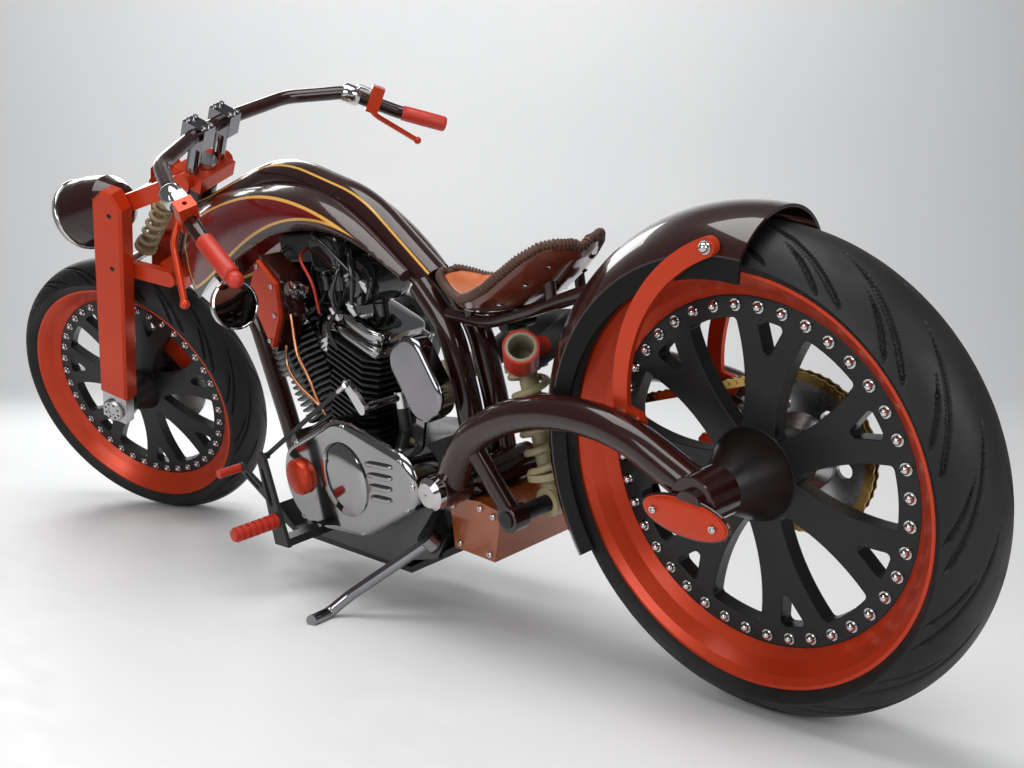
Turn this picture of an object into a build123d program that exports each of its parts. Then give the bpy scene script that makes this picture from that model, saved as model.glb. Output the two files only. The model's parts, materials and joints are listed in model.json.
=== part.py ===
from build123d import *
import os
from math import asin, atan2, cos, degrees, radians, sin, sqrt

# A low one-off chopper: twin big wheels, girder fork, arched backbone, 45 degree twin engine.
# Millimetres. It is drawn upright (x forward from the rear axle, y to the left, z up from the
# floor), then the front end is turned onto its left stop and the whole machine leans on its stand.

# Stance
WHEELBASE = 1967.0
RAKE = 37.0
FORK_OFFSET = 74.0
STEER_STOP = 25.0
LEAN = 10.5

# Tyres and rims
TYRE_R = 365.0
TREAD_ANGLE = 60.0
REAR_CROWN = 90.0
FRONT_CROWN = 80.0
RIM_LIP_R = 306.0
BEAD_R = 296.0
RIM_BORE_R = 262.0
REAR_RIM_HALF = 62.0
FRONT_RIM_HALF = 55.0
LIP_WALL = 5.0
FIT = 0.3

# Spoked wheel centres
SPOKES = 7
REAR_PHASE = 104.0
FRONT_PHASE = 75.0
SPOKE_FACE = 16.0
SPOKE_THICK = 26.0
RING_R = 230.0
WINDOW_IN = 66.0
WINDOW_MID = 140.0
WINDOW_MID_ANGLE = 13.0
WINDOW_OUT_ANGLE = 11.2
NOTCH_IN = 172.0
NOTCH_ANGLE = 5.8
WINDOW_FILLET = 7.0
AXLE_R = 12.5
AXLE_FIT = 0.05

# Frame
SPINE_R = 34.0
LEG_R = 24.0
LEG_Y = 32.0
TUBE_R = 22.0
HEAD_R = 34.0
HEAD_LOW = 700.0
HEAD_HIGH = 872.0
STEM_R = 19.0
STEM_FIT = 0.05
CRADLE_Z = 92.0
PIVOT_X = 577.0
PIVOT_Z = 299.0
ARM_R = 28.0
ARM_LEFT_Y = 122.0
ARM_RIGHT_Y = -146.0
ARM_BLOCK = 30.0
SHOCK_TOP = (478.0, 559.0)
SHOCK_LOW = (446.0, 256.0)
SHOCK_EYE_R = 26.0
SHOCK_PIN_R = 15.0
BRACE_R = 17.0

# Engine
CRANK_X = 1005.0
CRANK_Z = 255.0
V_HALF = 22.5
V_GAP = 2.0
CYLINDER_BASE = 105.0
FIN_PITCH = 13.0
FIN_THICK = 4.5
BARREL_FINS = 10
HEAD_FINS = 5
FIN_SIDE = 148.0
HEAD_SIDE = 166.0
CASE_LEFT = 84.0
CASE_RIGHT = -92.0
BOX_IN = 83.2
BOX_OUT = 132.0

# Chain drive
CHAIN_Y = -104.0
CHAIN_R = 120.0
DRIVE_X = 668.0
DRIVE_Z = 300.0
DRIVE_R = 46.0
CHAIN_HEIGHT = 15.0
CHAIN_PITCH = 15.875
CARRIER_Y = -109.0
PLATE_GAP = 9.0
PLATE_THICK = 2.6
SPROCKET_THICK = 7.4

# Fender
FENDER_GAP = 26.0
FENDER_R = TYRE_R + FENDER_GAP
FENDER_EDGE_R = RIM_LIP_R - 8.0
FENDER_HALF = 94.0
FENDER_WALL = 5.0
FENDER_LOW = -27.0
FENDER_HIGH = 103.0

# Fork and controls
BLADE_TOP = (WHEELBASE - 304.0, TYRE_R + 551.0)
BLADE_LOW = (WHEELBASE - 23.0, TYRE_R + 39.0)
BLADE_WIDE = 82.0
BLADE_IN = 86.0
BLADE_OUT = 128.0
BAR_R = 15.9
GRIP_R = 18.5
PERCH_SHARE = 0.55
PERCH_TOP = 24.0
MIRROR_HOLE_R = 5.0
MIRROR_DEPTH = 18.0
RISER_Y = 48.0
RISER_TALL = 96.0
CLAMP_GAP = 10.0
CLAMP_TALL = 36.0

# Exhaust
PIPE_R = 24.0
PIPE_WALL = 3.0
TIP_R = 30.0
TIP_LONG = 56.0
MOUTH_DEEP = 60.0
PORT_Y = -30.0

# Foot controls
FOOT_IN = 206.0
FOOT_THICK = 8.0
FOOT_PIVOT = (1064.0, 322.0)
PEG_AT = (1046.0, 192.0)
PEG_R = 15.5
PEG_LONG = 98.0
TOE_AT = (1156.0, 290.0)
CRANK_ARM_FOOT = (753.0, 436.0)
CRANK_ARM_TOP = (790.0, 478.0)
CRANK_ARM_Y = 160.0

# Brakes, struts and springs
CALIPER_WALL = 13.0
PAD_GAP = 5.3
STRUT_WIDE = 28.0
STRUT_THICK = 9.0
STRUT_POINTS = [(-28.0, 707.0), (104.0, 622.0), (160.0, 463.0)]
STRUT_TOE = (134.0, 454.0)
RIGHT_STRUT_Y = -117.0
COIL_STEPS = 8

# Levers and mirror
LEVER_R = 6.5
LEVER_TIP = (1210.0, 474.0, 757.0)
BALL_R = 17.0
MIRROR_R = 46.0
MIRROR_THICK = 14.0
MIRROR_AT = (1120.0, 446.0, 733.0)

# Side stand
STAND_PIVOT = (655.0, 126.0, 186.0)
STAND_FOOT = (826.0, 266.0)
STAND_R = 11.0
STAND_FOLD_DIR = (-0.97, 0.16, 0.10)
STAND_EYE_R = 16.0
STAND_EYE_TALL = 24.0
EAR_THICK = 6.0
EAR_FIT = 0.3
EAR_ANGLE = 236.0
WEB_NEAR = 18.0

REAR_AXLE = Vector(0, 0, TYRE_R)
FRONT_AXLE = Vector(WHEELBASE, 0, TYRE_R)
STEER_UP = Vector(-sin(radians(RAKE)), 0, cos(radians(RAKE)))
STEER_FORWARD = Vector(cos(radians(RAKE)), 0, sin(radians(RAKE)))
STEER_BASE = FRONT_AXLE - STEER_FORWARD * FORK_OFFSET
STEER_AXIS = Axis(STEER_BASE, STEER_UP)


def side(sketch, y_low, y_high):
    """A side-view outline (x, z) made solid between two planes of y."""
    return Pos(0, y_high, 0) * Rot(90, 0, 0) * extrude(sketch, y_high - y_low)


def outline(*points):
    """A flat face with straight edges through the points."""
    return make_face(Polyline(*points, close=True))


def turned(points, centre=Vector(0, 0, 0)):
    """A profile of (radius, offset along y) turned about an axle line."""
    return Pos(*centre) * revolve(outline(*points), Axis.Y)


def rod(start, end, radius):
    """A round bar between two points."""
    run = Vector(*end) - Vector(*start)
    return extrude(Plane(Vector(*start), z_dir=run) * Circle(radius), run.length)


def tube(points, radius, bends):
    """A round tube along straight runs joined by tangent arcs."""
    path = FilletPolyline(*[Vector(*p) for p in points], radius=bends)
    return sweep(Plane(path @ 0, z_dir=path % 0) * Circle(radius), path)


def axle_bore(centre, radius, reach=400.0):
    """A cutter along the axle line."""
    return Pos(*centre) * Rot(90, 0, 0) * Cylinder(radius, 2 * reach)


def largest(shape):
    """The main solid that a cut leaves."""
    return max(shape.solids(), key=lambda solid: solid.volume)


def polar(radius, angle):
    """A point at a radius and an angle in degrees."""
    return (radius * cos(radians(angle)), radius * sin(radians(angle)))


def steer_point(height):
    """The point of the steering axis at a height."""
    return STEER_BASE + STEER_UP * ((height - STEER_BASE.Z) / STEER_UP.Z)


# Wheels

def tyre(crown, rim_half):
    """Round tread section down to the bead seat."""
    ring = TYRE_R - crown
    edge_r = ring + crown * cos(radians(TREAD_ANGLE))
    edge_y = crown * sin(radians(TREAD_ANGLE))
    bead_y = rim_half - LIP_WALL - FIT
    tread = ThreePointArc((edge_r, -edge_y), (TYRE_R, 0), (edge_r, edge_y))
    wall = Polyline(
        (edge_r, edge_y), (RIM_LIP_R + FIT, rim_half + FIT), (RIM_LIP_R + FIT, bead_y),
        (BEAD_R + FIT, bead_y), (BEAD_R + FIT, -bead_y), (RIM_LIP_R + FIT, -bead_y),
        (RIM_LIP_R + FIT, -rim_half - FIT), (edge_r, -edge_y),
    )
    return revolve(make_face(tread + wall), Axis.Y)


def rim(rim_half):
    """A wide dished rim that carries the tyre and the spoked centre."""
    lip_y = rim_half - LIP_WALL
    inner_lip = RIM_LIP_R - LIP_WALL
    throat_r = BEAD_R - LIP_WALL
    dish_r = RIM_BORE_R + 0.5 * (throat_r - RIM_BORE_R)
    dish_y = SPOKE_FACE + 0.34 * (rim_half - SPOKE_FACE)
    half = [
        (inner_lip, rim_half), (RIM_LIP_R, rim_half), (RIM_LIP_R, lip_y), (BEAD_R, lip_y),
    ]
    dish = [(throat_r, lip_y - LIP_WALL), (dish_r, dish_y), (RIM_BORE_R + FIT, SPOKE_FACE)]
    points = half + [(r, -y) for r, y in reversed(half)]
    points += [(r, -y) for r, y in dish] + list(reversed(dish))
    return turned(points)


def window(middle):
    """One large opening between two spokes, pointed at the hub."""
    tip = polar(WINDOW_IN, middle)
    corners = [polar(RING_R, middle + s * WINDOW_OUT_ANGLE) for s in (-1, 1)]
    waists = [polar(WINDOW_MID, middle + s * WINDOW_MID_ANGLE) for s in (-1, 1)]
    edges = ThreePointArc(tip, waists[0], corners[0])
    edges += ThreePointArc(corners[0], polar(RING_R, middle), corners[1])
    edges += ThreePointArc(corners[1], waists[1], tip)
    face = make_face(edges)
    return fillet(face.vertices(), WINDOW_FILLET)


def notch(middle):
    """The small opening in the fork of one spoke."""
    tip = polar(NOTCH_IN, middle)
    corners = [polar(RING_R, middle + s * NOTCH_ANGLE) for s in (-1, 1)]
    edges = Line(tip, corners[0]) + Line(corners[1], tip)
    edges += ThreePointArc(corners[0], polar(RING_R, middle), corners[1])
    face = make_face(edges)
    return fillet(face.vertices(), WINDOW_FILLET)


def spoked_centre(phase, hub_points):
    """Seven forked spokes, their bolting ring and the hub, in one casting."""
    pitch = 360.0 / SPOKES
    disc = Circle(RIM_BORE_R)
    for k in range(SPOKES):
        disc -= notch(phase + k * pitch)
        disc -= window(phase + (k + 0.5) * pitch)
    plate = side(disc, SPOKE_FACE - SPOKE_THICK, SPOKE_FACE)
    hub = turned(hub_points)
    return plate + hub - axle_bore((0, 0, 0), AXLE_R + AXLE_FIT)


REAR_HUB_RIGHT = -84.0
REAR_HUB_LEFT = ARM_LEFT_Y - ARM_BLOCK - 0.5
FRONT_HUB_HALF = 70.0
REAR_HUB = [
    (0, REAR_HUB_RIGHT), (44, REAR_HUB_RIGHT), (52, -40), (66, SPOKE_FACE - SPOKE_THICK), (70, 18), (64, 30),
    (34, REAR_HUB_LEFT), (0, REAR_HUB_LEFT),
]
FRONT_HUB = [
    (0, -FRONT_HUB_HALF), (32, -FRONT_HUB_HALF), (44, -22), (58, SPOKE_FACE - SPOKE_THICK), (58, 18),
    (32, FRONT_HUB_HALF), (0, FRONT_HUB_HALF),
]


def toothed_disc(pitch_r, teeth, thick, bore):
    """A chain wheel with trapezoid teeth, round its axle."""
    step = 360.0 / teeth
    points = []
    for k in range(teeth):
        for radius, share in ((pitch_r - 6, -0.34), (pitch_r + 4, -0.12), (pitch_r + 4, 0.12),
                              (pitch_r - 6, 0.34)):
            points.append(polar(radius, (k + share) * step))
    return side(outline(*points) - Circle(bore), -thick / 2, thick / 2)


def rear_sprocket():
    """Chain wheel and brake disc in one, lightened by round holes."""
    disc = toothed_disc(CHAIN_R, 47, SPROCKET_THICK, 45.0)
    for k in range(6):
        x, z = polar(78.0, 60.0 * k + 15)
        disc -= Pos(x, 0, z) * Rot(90, 0, 0) * Cylinder(13, 2 * SPROCKET_THICK)
    carrier = turned([
        (AXLE_R + 8, CARRIER_Y), (62, CARRIER_Y), (62, CHAIN_Y + SPROCKET_THICK / 2 + 4),
        (44, REAR_HUB_RIGHT), (AXLE_R + 8, REAR_HUB_RIGHT),
    ])
    return Pos(0, CHAIN_Y, 0) * disc - carrier + carrier


DISC_Y = -66.5
DISC_HALF = 2.5
DISC_R = 146.0


def front_disc():
    """Brake disc and its bell on the right of the front hub."""
    inner = DISC_Y + DISC_HALF
    outer = DISC_Y - DISC_HALF
    face = -FRONT_HUB_HALF
    return turned([
        (AXLE_R + 10, face), (60, face), (60, inner), (DISC_R, inner), (DISC_R, outer),
        (66, outer), (64, face - 5), (AXLE_R + 10, face - 5),
    ])


# Chain

def chain_path(offset):
    """The loop round both chain wheels, grown by an offset: straight runs and two arcs."""
    big = CHAIN_R + offset
    small = DRIVE_R + offset
    run = Vector(DRIVE_X, DRIVE_Z - TYRE_R)
    tilt = atan2(run.Y, run.X)
    spread = asin((big - small) / run.length)
    up = tilt + radians(90) - spread
    down = tilt - radians(90) + spread

    def at(centre, radius, angle):
        return (centre[0] + radius * cos(angle), centre[1] + radius * sin(angle))

    rear = (0, TYRE_R)
    front = (DRIVE_X, DRIVE_Z)
    loop = Line(at(rear, big, up), at(front, small, up))
    loop += ThreePointArc(at(front, small, up), at(front, small, tilt), at(front, small, down))
    loop += Line(at(front, small, down), at(rear, big, down))
    loop += ThreePointArc(at(rear, big, down), at(rear, big, tilt + radians(180)), at(rear, big, up))
    return Wire(loop.edges())


def drive_chain():
    """Two rows of link plates beside the chain wheels, waisted between the pins."""
    middle = chain_path(0)
    links = round(middle.length / CHAIN_PITCH)
    points = []
    for k in range(2 * links):
        place = k / (2 * links)
        spot = middle @ place
        way = middle % place
        reach = CHAIN_HEIGHT / 2 if k % 2 == 0 else 0.36 * CHAIN_HEIGHT
        points.append((spot.X - way.Y * reach, spot.Y + way.X * reach))
    outer = outline(*points)
    loop = outer - make_face(chain_path(-CHAIN_HEIGHT / 2))
    rows = []
    for s in (-1, 1):
        mid = CHAIN_Y + s * (PLATE_GAP + PLATE_THICK) / 2
        rows.append(side(loop, mid - PLATE_THICK / 2, mid + PLATE_THICK / 2))
    return rows


# Frame

def mirrored(shape):
    """The same piece on the other side of the machine."""
    return mirror(shape, about=Plane.XZ)


def steering_head():
    """The head tube, bored for the stem."""
    low = steer_point(HEAD_LOW)
    high = steer_point(HEAD_HIGH)
    return rod(low, high, HEAD_R) - rod(low - STEER_UP * 9, high + STEER_UP * 9, STEM_R + STEM_FIT)


SPINE_POINTS = [(1545, 795), (1440, 808), (1120, 872), (860, 786), (690, 640)]
SPINE_BENDS = [300, 380, 300]
LEG_POINTS = [(690, 640), (622, 560), (603, 420), (600, 322)]
LEG_BENDS = [160, 260]


def in_plane(points, y):
    """Side-view points set at one y."""
    return [(x, y, z) for x, z in points]


def frame_backbone():
    """The arched spine from the head down to behind the engine."""
    return largest(tube(in_plane(SPINE_POINTS, 0), SPINE_R, SPINE_BENDS) - head_block())


def head_block():
    """The room that the head tube and its stem take."""
    low = steer_point(HEAD_LOW) - STEER_UP * 60
    high = steer_point(HEAD_HIGH) + STEER_UP * 60
    return rod(low, high, HEAD_R + 0.02)


def frame_legs(spine):
    """Two tubes from the spine down to the swingarm pivot, with their cross tube."""
    legs = [tube(in_plane(LEG_POINTS, s * LEG_Y), LEG_R, LEG_BENDS) for s in (-1, 1)]
    boss = rod((PIVOT_X, -70, PIVOT_Z), (PIVOT_X, 70, PIVOT_Z), 30)
    joined = legs[0] + legs[1] + boss - spine
    return joined - rod((PIVOT_X, -90, PIVOT_Z), (PIVOT_X, 90, PIVOT_Z), 16 + FIT)


def frame_downtube():
    """The single front tube from the head to the foot of the engine."""
    start = steer_point(HEAD_LOW + 45)
    points = [(start.X, start.Z), (1362, 575), (1300, 330), (1262, 150)]
    return largest(tube(in_plane(points, 0), TUBE_R, [150, 400]) - head_block())


def engine_cradle(down):
    """The plate under the engine and the two rails that carry it to the pivot."""
    floor = outline((1278, 150), (1290, 120), (1230, CRADLE_Z), (800, CRADLE_Z - 14),
                    (640, 150), (632, 168), (800, CRADLE_Z - 2), (1222, CRADLE_Z + 12))
    return side(floor, -78, 78) - down


# Tank lobes

TANK_STATIONS = [
    # x, top, bottom, half width
    (1478, 806, 612, 84),
    (1330, 842, 676, 104),
    (1160, 850, 733, 108),
    (1000, 836, 756, 96),
    (850, 772, 730, 78),
    (716, 668, 650, 58),
]


def tank_lobe():
    """One bellied tank half beside the spine, from the head down to the legs."""
    sections = []
    inner = SPINE_R + FIT
    for x, top, bottom, half in TANK_STATIONS:
        tall = top - bottom
        plane = Plane((x, 0, 0), x_dir=(0, 1, 0), z_dir=(1, 0, 0))
        crest = ThreePointArc((inner, top), (inner + 0.66 * (half - inner), top - 0.16 * tall),
                              (half, top - 0.52 * tall))
        flank = ThreePointArc((half, top - 0.52 * tall), (half - 2, top - 0.8 * tall),
                              (half - 14, bottom))
        rest = Polyline((half - 14, bottom), (inner, bottom + 0.12 * tall), (inner, top))
        sections.append(plane * make_face(crest + flank + rest))
    return loft(sections)


# Engine

def crankcase(down, cradle):
    """The cast case of crank and gearbox, with its two cylinder seats."""
    body = outline((1150, 120), (1196, 215), (1150, 330), (1040, 372), (965, 372), (880, 345),
                   (690, 352), (640, 318), (632, 215), (700, 128), (860, CRADLE_Z + 2),
                   (1100, CRADLE_Z + 13))
    case = side(body, CASE_RIGHT, CASE_LEFT)
    for s in (-1, 1):
        case = case - cylinder_frame(s) * Pos(0, 0, CYLINDER_BASE + 200) * Box(190, 200, 400)
    bored = rod((PIVOT_X, -90, PIVOT_Z), (PIVOT_X, 90, PIVOT_Z), 62)
    return case - down - cradle - bored


def cylinder_frame(lean):
    """The place of one cylinder: origin on the crank line, z along its bore."""
    return Pos(CRANK_X, 0, CRANK_Z) * Rot(0, lean * V_HALF, 0)


def fin_plate(width, chamfer, low, high):
    """One square plate with cut corners, across the bore."""
    return Pos(0, 0, low) * extrude(chamfer_square(width, chamfer), high - low)


def chamfer_square(width, cut):
    """A square face with its corners cut."""
    face = Rectangle(width, width)
    return chamfer(face.vertices(), cut)


def cylinder(lean):
    """A finned barrel and its finned head."""
    core = fin_plate(FIN_SIDE - 40, 22, CYLINDER_BASE, CYLINDER_BASE + BARREL_FINS * FIN_PITCH)
    for k in range(BARREL_FINS):
        low = CYLINDER_BASE + (k + 0.5) * FIN_PITCH
        core += fin_plate(FIN_SIDE - 1.6 * abs(k - 6), 22, low, low + FIN_THICK)
    head_low = CYLINDER_BASE + BARREL_FINS * FIN_PITCH
    head_high = head_low + HEAD_FINS * FIN_PITCH
    core += fin_plate(HEAD_SIDE - 44, 24, head_low, head_high)
    for k in range(HEAD_FINS):
        low = head_low + (k + 0.3) * FIN_PITCH
        core += fin_plate(HEAD_SIDE, 24, low, low + FIN_THICK)
    middle = Pos(CRANK_X - lean * (300 - V_GAP / 2), 0, CRANK_Z + 300) * Box(600, 400, 900)
    return cylinder_frame(lean) * core - middle


HEAD_TOP = CYLINDER_BASE + (BARREL_FINS + HEAD_FINS) * FIN_PITCH


def rocker_box(lean):
    """The stepped cover over one head's valve gear."""
    low = extrude(Rectangle(168, 150), 20)
    high = Pos(0, 0, 20) * extrude(Rectangle(150, 132), 30)
    high = chamfer(high.faces().sort_by(Axis.Z)[-1].edges(), 12)
    return cylinder_frame(lean) * Pos(0, 0, HEAD_TOP) * (low + high)


def primary_cover():
    """The polished cover over the left drive: two rounds and their tangents."""
    face = make_hull((Pos(CRANK_X, CRANK_Z) * Circle(94)).edges()
                     + (Pos(CRANK_X - 138, CRANK_Z + 28) * Circle(118)).edges()
                     + (Pos(CRANK_X - 300, CRANK_Z + 40) * Circle(62)).edges())
    cover = side(face, CASE_LEFT, CASE_LEFT + 66)
    return fillet(cover.faces().sort_by(Axis.Y)[-1].edges(), 16)


def crank_cap():
    """The round cap on the front of the primary cover."""
    base = CASE_LEFT + 66
    cap = turned([(0, base), (38, base), (38, base + 12), (30, base + 19), (0, base + 19)])
    return Pos(CRANK_X + 22, 0, CRANK_Z + 14) * cap


PUSHROD_Y = CASE_RIGHT - 10.0
PUSHROD_R = 9.0


def pushrod_tubes():
    """Two tubes beside each cylinder, from the cam cover up to its head."""
    tubes = []
    top = CYLINDER_BASE + (BARREL_FINS + 0.5 * HEAD_FINS) * FIN_PITCH
    for lean in (-1, 1):
        for x in (-22, 22):
            tube_up = rod((x, PUSHROD_Y, 74), (x, PUSHROD_Y, top), PUSHROD_R)
            elbow = rod((x, PUSHROD_Y, top), (x, -HEAD_SIDE / 2, top), PUSHROD_R)
            tubes.append(cylinder_frame(lean) * (tube_up + elbow))
    return tubes


def intake(cylinders):
    """Carburettor and round air filter on the right, between the heads."""
    x, z = CRANK_X, CRANK_Z + 248
    neck = side(Pos(x, z) * RectangleRounded(84, 84, 16), -142, -HEAD_SIDE / 2 + 12)
    bowl = side(Pos(x, z - 52) * RectangleRounded(50, 40, 10), -132, -98)
    drum = turned([(0, -142), (74, -142), (82, -150), (82, -176), (70, -188), (30, -192), (0, -192)],
                  Vector(x, 0, z))
    return largest(neck + bowl + drum - cylinders[0] - cylinders[1])


def cam_cover():
    """The cover over the valve gear on the right of the case, with the pushrod tubes."""
    face = make_hull((Pos(CRANK_X, CRANK_Z) * Circle(84)).edges()
                     + (Pos(CRANK_X - 130, CRANK_Z + 20) * Circle(60)).edges())
    cover = side(face, CASE_RIGHT - 34, CASE_RIGHT)
    cover = chamfer(cover.faces().sort_by(Axis.Y)[0].edges(), 8)
    for pushrod in pushrod_tubes():
        cover += pushrod
    return cover


def side_box():
    """The ignition box between the cylinders, with its slanted front."""
    face = outline((1128, 640), (1066, 716), (1004, 676), (1012, 590), (1066, 520))
    return side(face, BOX_IN, BOX_OUT)


def side_plate():
    """The painted plate over the outer face of the box."""
    face = outline((1122, 640), (1066, 708), (1012, 660), (1020, 592), (1066, 530))
    return side(face, BOX_OUT, BOX_OUT + 9)


def filter_cover(primary):
    """The rounded cover behind the rear cylinder and the neck that holds it to the case."""
    face = Pos(640, 486) * Rot(0, 0, 62) * RectangleRounded(156, 104, 42)
    cover = side(face, CASE_LEFT, CASE_LEFT + 34)
    cover = fillet(cover.faces().sort_by(Axis.Y)[-1].edges(), 10)
    stay = outline((650, 440), (674, 440), (716, 326), (692, 326))
    return cover + side(stay, CASE_LEFT, CASE_LEFT + 6) - primary


# Exhaust

def exhaust_port(lean, out):
    """A point straight out from the port of one head."""
    middle = CYLINDER_BASE + (BARREL_FINS + 0.5 * HEAD_FINS) * FIN_PITCH
    return (cylinder_frame(lean) * Pos(lean * (HEAD_SIDE / 2 + out), PORT_Y, middle)).position


def piped(route, bends, tip_r):
    """A pipe along its route, open and thickened at the far end."""
    mouth = Vector(*route[-1])
    way = (mouth - Vector(*route[-2])).normalized()
    pipe = tube(route, PIPE_R, bends) + rod(mouth - way * TIP_LONG, mouth, tip_r)
    return pipe - rod(mouth - way * MOUTH_DEEP, mouth + way, PIPE_R - PIPE_WALL)


REAR_PIPE = [(690, -92, 470), (560, -94, 540), (420, -86, 556), (398, -20, 545), (425, 50, 512),
             (378, 88, 552)]
REAR_PIPE_BENDS = [40, 120, 200, 55, 58, 32]
FRONT_PIPE = [(1252, -112, 384), (1196, -174, 250), (1010, -176, 188), (600, -182, 192)]
FRONT_PIPE_BENDS = [44, 80, 100, 300]


def exhaust_pipes():
    """The rear pipe to its mouth under the saddle, and the front pipe low along the right side."""
    rear = [exhaust_port(-1, 0), exhaust_port(-1, 52)] + REAR_PIPE
    front = [exhaust_port(1, 0), exhaust_port(1, 48)] + FRONT_PIPE
    return [piped(rear, REAR_PIPE_BENDS, TIP_R), piped(front, FRONT_PIPE_BENDS, PIPE_R)]


# Foot controls

def at_side(spot, y):
    """A side-view point set at one y."""
    return (spot[0], y, spot[1])


def foot_peg():
    """The ribbed rest for the foot."""
    start = FOOT_IN + FOOT_THICK
    ribs = 7
    step = PEG_LONG / ribs
    points = [(0, start)]
    for k in range(ribs):
        low = start + k * step
        points += [(PEG_R, low), (PEG_R, low + 0.6 * step), (PEG_R - 3, low + 0.6 * step),
                   (PEG_R - 3, low + step)]
    points.append((0, start + PEG_LONG))
    return turned(points, Vector(PEG_AT[0], 0, PEG_AT[1]))


def foot_plate():
    """The upright with its slot, the toe arm and the bar in to the case."""
    low_x, low_z = PEG_AT
    upright = outline((low_x - 30, low_z - 54), (low_x + 22, low_z - 54), (FOOT_PIVOT[0] + 15, FOOT_PIVOT[1]),
                      (FOOT_PIVOT[0], FOOT_PIVOT[1] + 12), (FOOT_PIVOT[0] - 14, FOOT_PIVOT[1]))
    slot = make_hull((Pos(low_x + 8, low_z + 36) * Circle(8)).edges()
                     + (Pos(FOOT_PIVOT[0] + 1, FOOT_PIVOT[1] - 28) * Circle(5)).edges())
    arm = make_hull((Pos(low_x + 14, low_z + 44) * Circle(10)).edges() + (Pos(*TOE_AT) * Circle(9)).edges())
    arm_slot = make_hull((Pos(low_x + 48, low_z + 63) * Circle(4)).edges()
                         + (Pos(TOE_AT[0] - 22, TOE_AT[1] - 11) * Circle(4)).edges())
    plate = side(upright + arm - slot - arm_slot, FOOT_IN, FOOT_IN + FOOT_THICK)
    bar = Pos(low_x - 8, (CASE_LEFT + FOOT_IN) / 2, low_z - 45) * Box(38, FOOT_IN - CASE_LEFT, 16)
    toe = rod(at_side(TOE_AT, FOOT_IN), at_side(TOE_AT, FOOT_IN + 58), 9)
    return plate + bar + toe + foot_peg()


def shift_linkage(case):
    """The rod from the left foot lever to a crank arm on a post above the gearbox."""
    pin = rod(at_side(FOOT_PIVOT, FOOT_IN - 12), at_side(FOOT_PIVOT, FOOT_IN), 7)
    pull = rod(at_side(FOOT_PIVOT, FOOT_IN - 8), at_side(CRANK_ARM_TOP, CRANK_ARM_Y + 4), 5)
    arm = make_hull((Pos(*CRANK_ARM_FOOT) * Circle(12)).edges() + (Pos(*CRANK_ARM_TOP) * Circle(9)).edges())
    arm = side(arm, CRANK_ARM_Y - 8, CRANK_ARM_Y + 2)
    shaft = rod(at_side(CRANK_ARM_FOOT, CASE_LEFT - 24), at_side(CRANK_ARM_FOOT, CRANK_ARM_Y), 8)
    post = rod((CRANK_ARM_FOOT[0], CASE_LEFT - 14, CRANK_ARM_FOOT[1] - 110),
               (CRANK_ARM_FOOT[0], CASE_LEFT - 14, CRANK_ARM_FOOT[1] + 10), 12)
    return pin + pull + arm + shaft + (post - case)


def foot_controls(case):
    """Both foot rests, with the gear linkage on the left."""
    right = case.bounding_box().min.Y
    plate = foot_plate()
    return [plate + shift_linkage(case), mirrored(plate) - Pos(0, right + 50, 0) * Box(9000, 100, 9000)]


# Seat, fender and swingarm

SEAT_STATIONS = [
    # x, middle height, half width, edge rise, thickness
    (640, 664, 24, 8, 28),
    (600, 636, 46, 14, 30),
    (510, 618, 92, 18, 30),
    (420, 632, 114, 26, 30),
    (350, 668, 92, 34, 30),
    (300, 706, 44, 16, 26),
]


def seat():
    """A dished solo saddle that rises to its tail."""
    sections = []
    for x, mid, half, rise, thick in SEAT_STATIONS:
        plane = Plane((x, 0, 0), x_dir=(0, 1, 0), z_dir=(1, 0, 0))
        top = ThreePointArc((-half, mid + rise), (0, mid), (half, mid + rise))
        low = ThreePointArc((half, mid + rise - thick), (0, mid - thick), (-half, mid + rise - thick))
        ends = Line((half, mid + rise), (half, mid + rise - thick))
        ends += Line((-half, mid + rise - thick), (-half, mid + rise))
        sections.append(plane * make_face(top + low + ends))
    return loft(sections)


def fender():
    """The rear fender: a rounded channel swept round the axle."""
    half = FENDER_HALF
    wall = FENDER_WALL
    flat = FENDER_EDGE_R + 34
    outer = Line((FENDER_EDGE_R, -half), (flat, -half))
    outer += ThreePointArc((flat, -half), (FENDER_R, 0), (flat, half))
    outer += Line((flat, half), (FENDER_EDGE_R, half))
    inner = Line((FENDER_EDGE_R, half), (FENDER_EDGE_R, half - wall))
    inner += Line((FENDER_EDGE_R, half - wall), (flat, half - wall))
    inner += ThreePointArc((flat, half - wall), (FENDER_R - wall, 0), (flat, wall - half))
    inner += Line((flat, wall - half), (FENDER_EDGE_R, wall - half))
    inner += Line((FENDER_EDGE_R, wall - half), (FENDER_EDGE_R, -half))
    shell = revolve(make_face(outer + inner), Axis.Y, FENDER_HIGH - FENDER_LOW)
    return Pos(*REAR_AXLE) * Rot(0, -FENDER_LOW, 0) * Rot(0, -(FENDER_HIGH - FENDER_LOW), 0) * shell


def fender_room():
    """The whole round that the fender's outside covers, down to the axle."""
    flat = FENDER_EDGE_R + 34
    edge = ThreePointArc((flat, -FENDER_HALF), (FENDER_R, 0), (flat, FENDER_HALF))
    edge += Polyline((flat, FENDER_HALF), (0, FENDER_HALF), (0, -FENDER_HALF), (flat, -FENDER_HALF))
    return Pos(*REAR_AXLE) * revolve(make_face(edge), Axis.Y)


SEAT_RAIL_POINTS = [(620, 590), (520, 574), (400, 600), (255, 636)]
SEAT_RAIL_BENDS = [200, 200]
SEAT_RAIL_R = 11.0
SEAT_RAIL_Y = 34.0
SEAT_POSTS = [(560, 582), (430, 596), (350, 614)]


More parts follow.
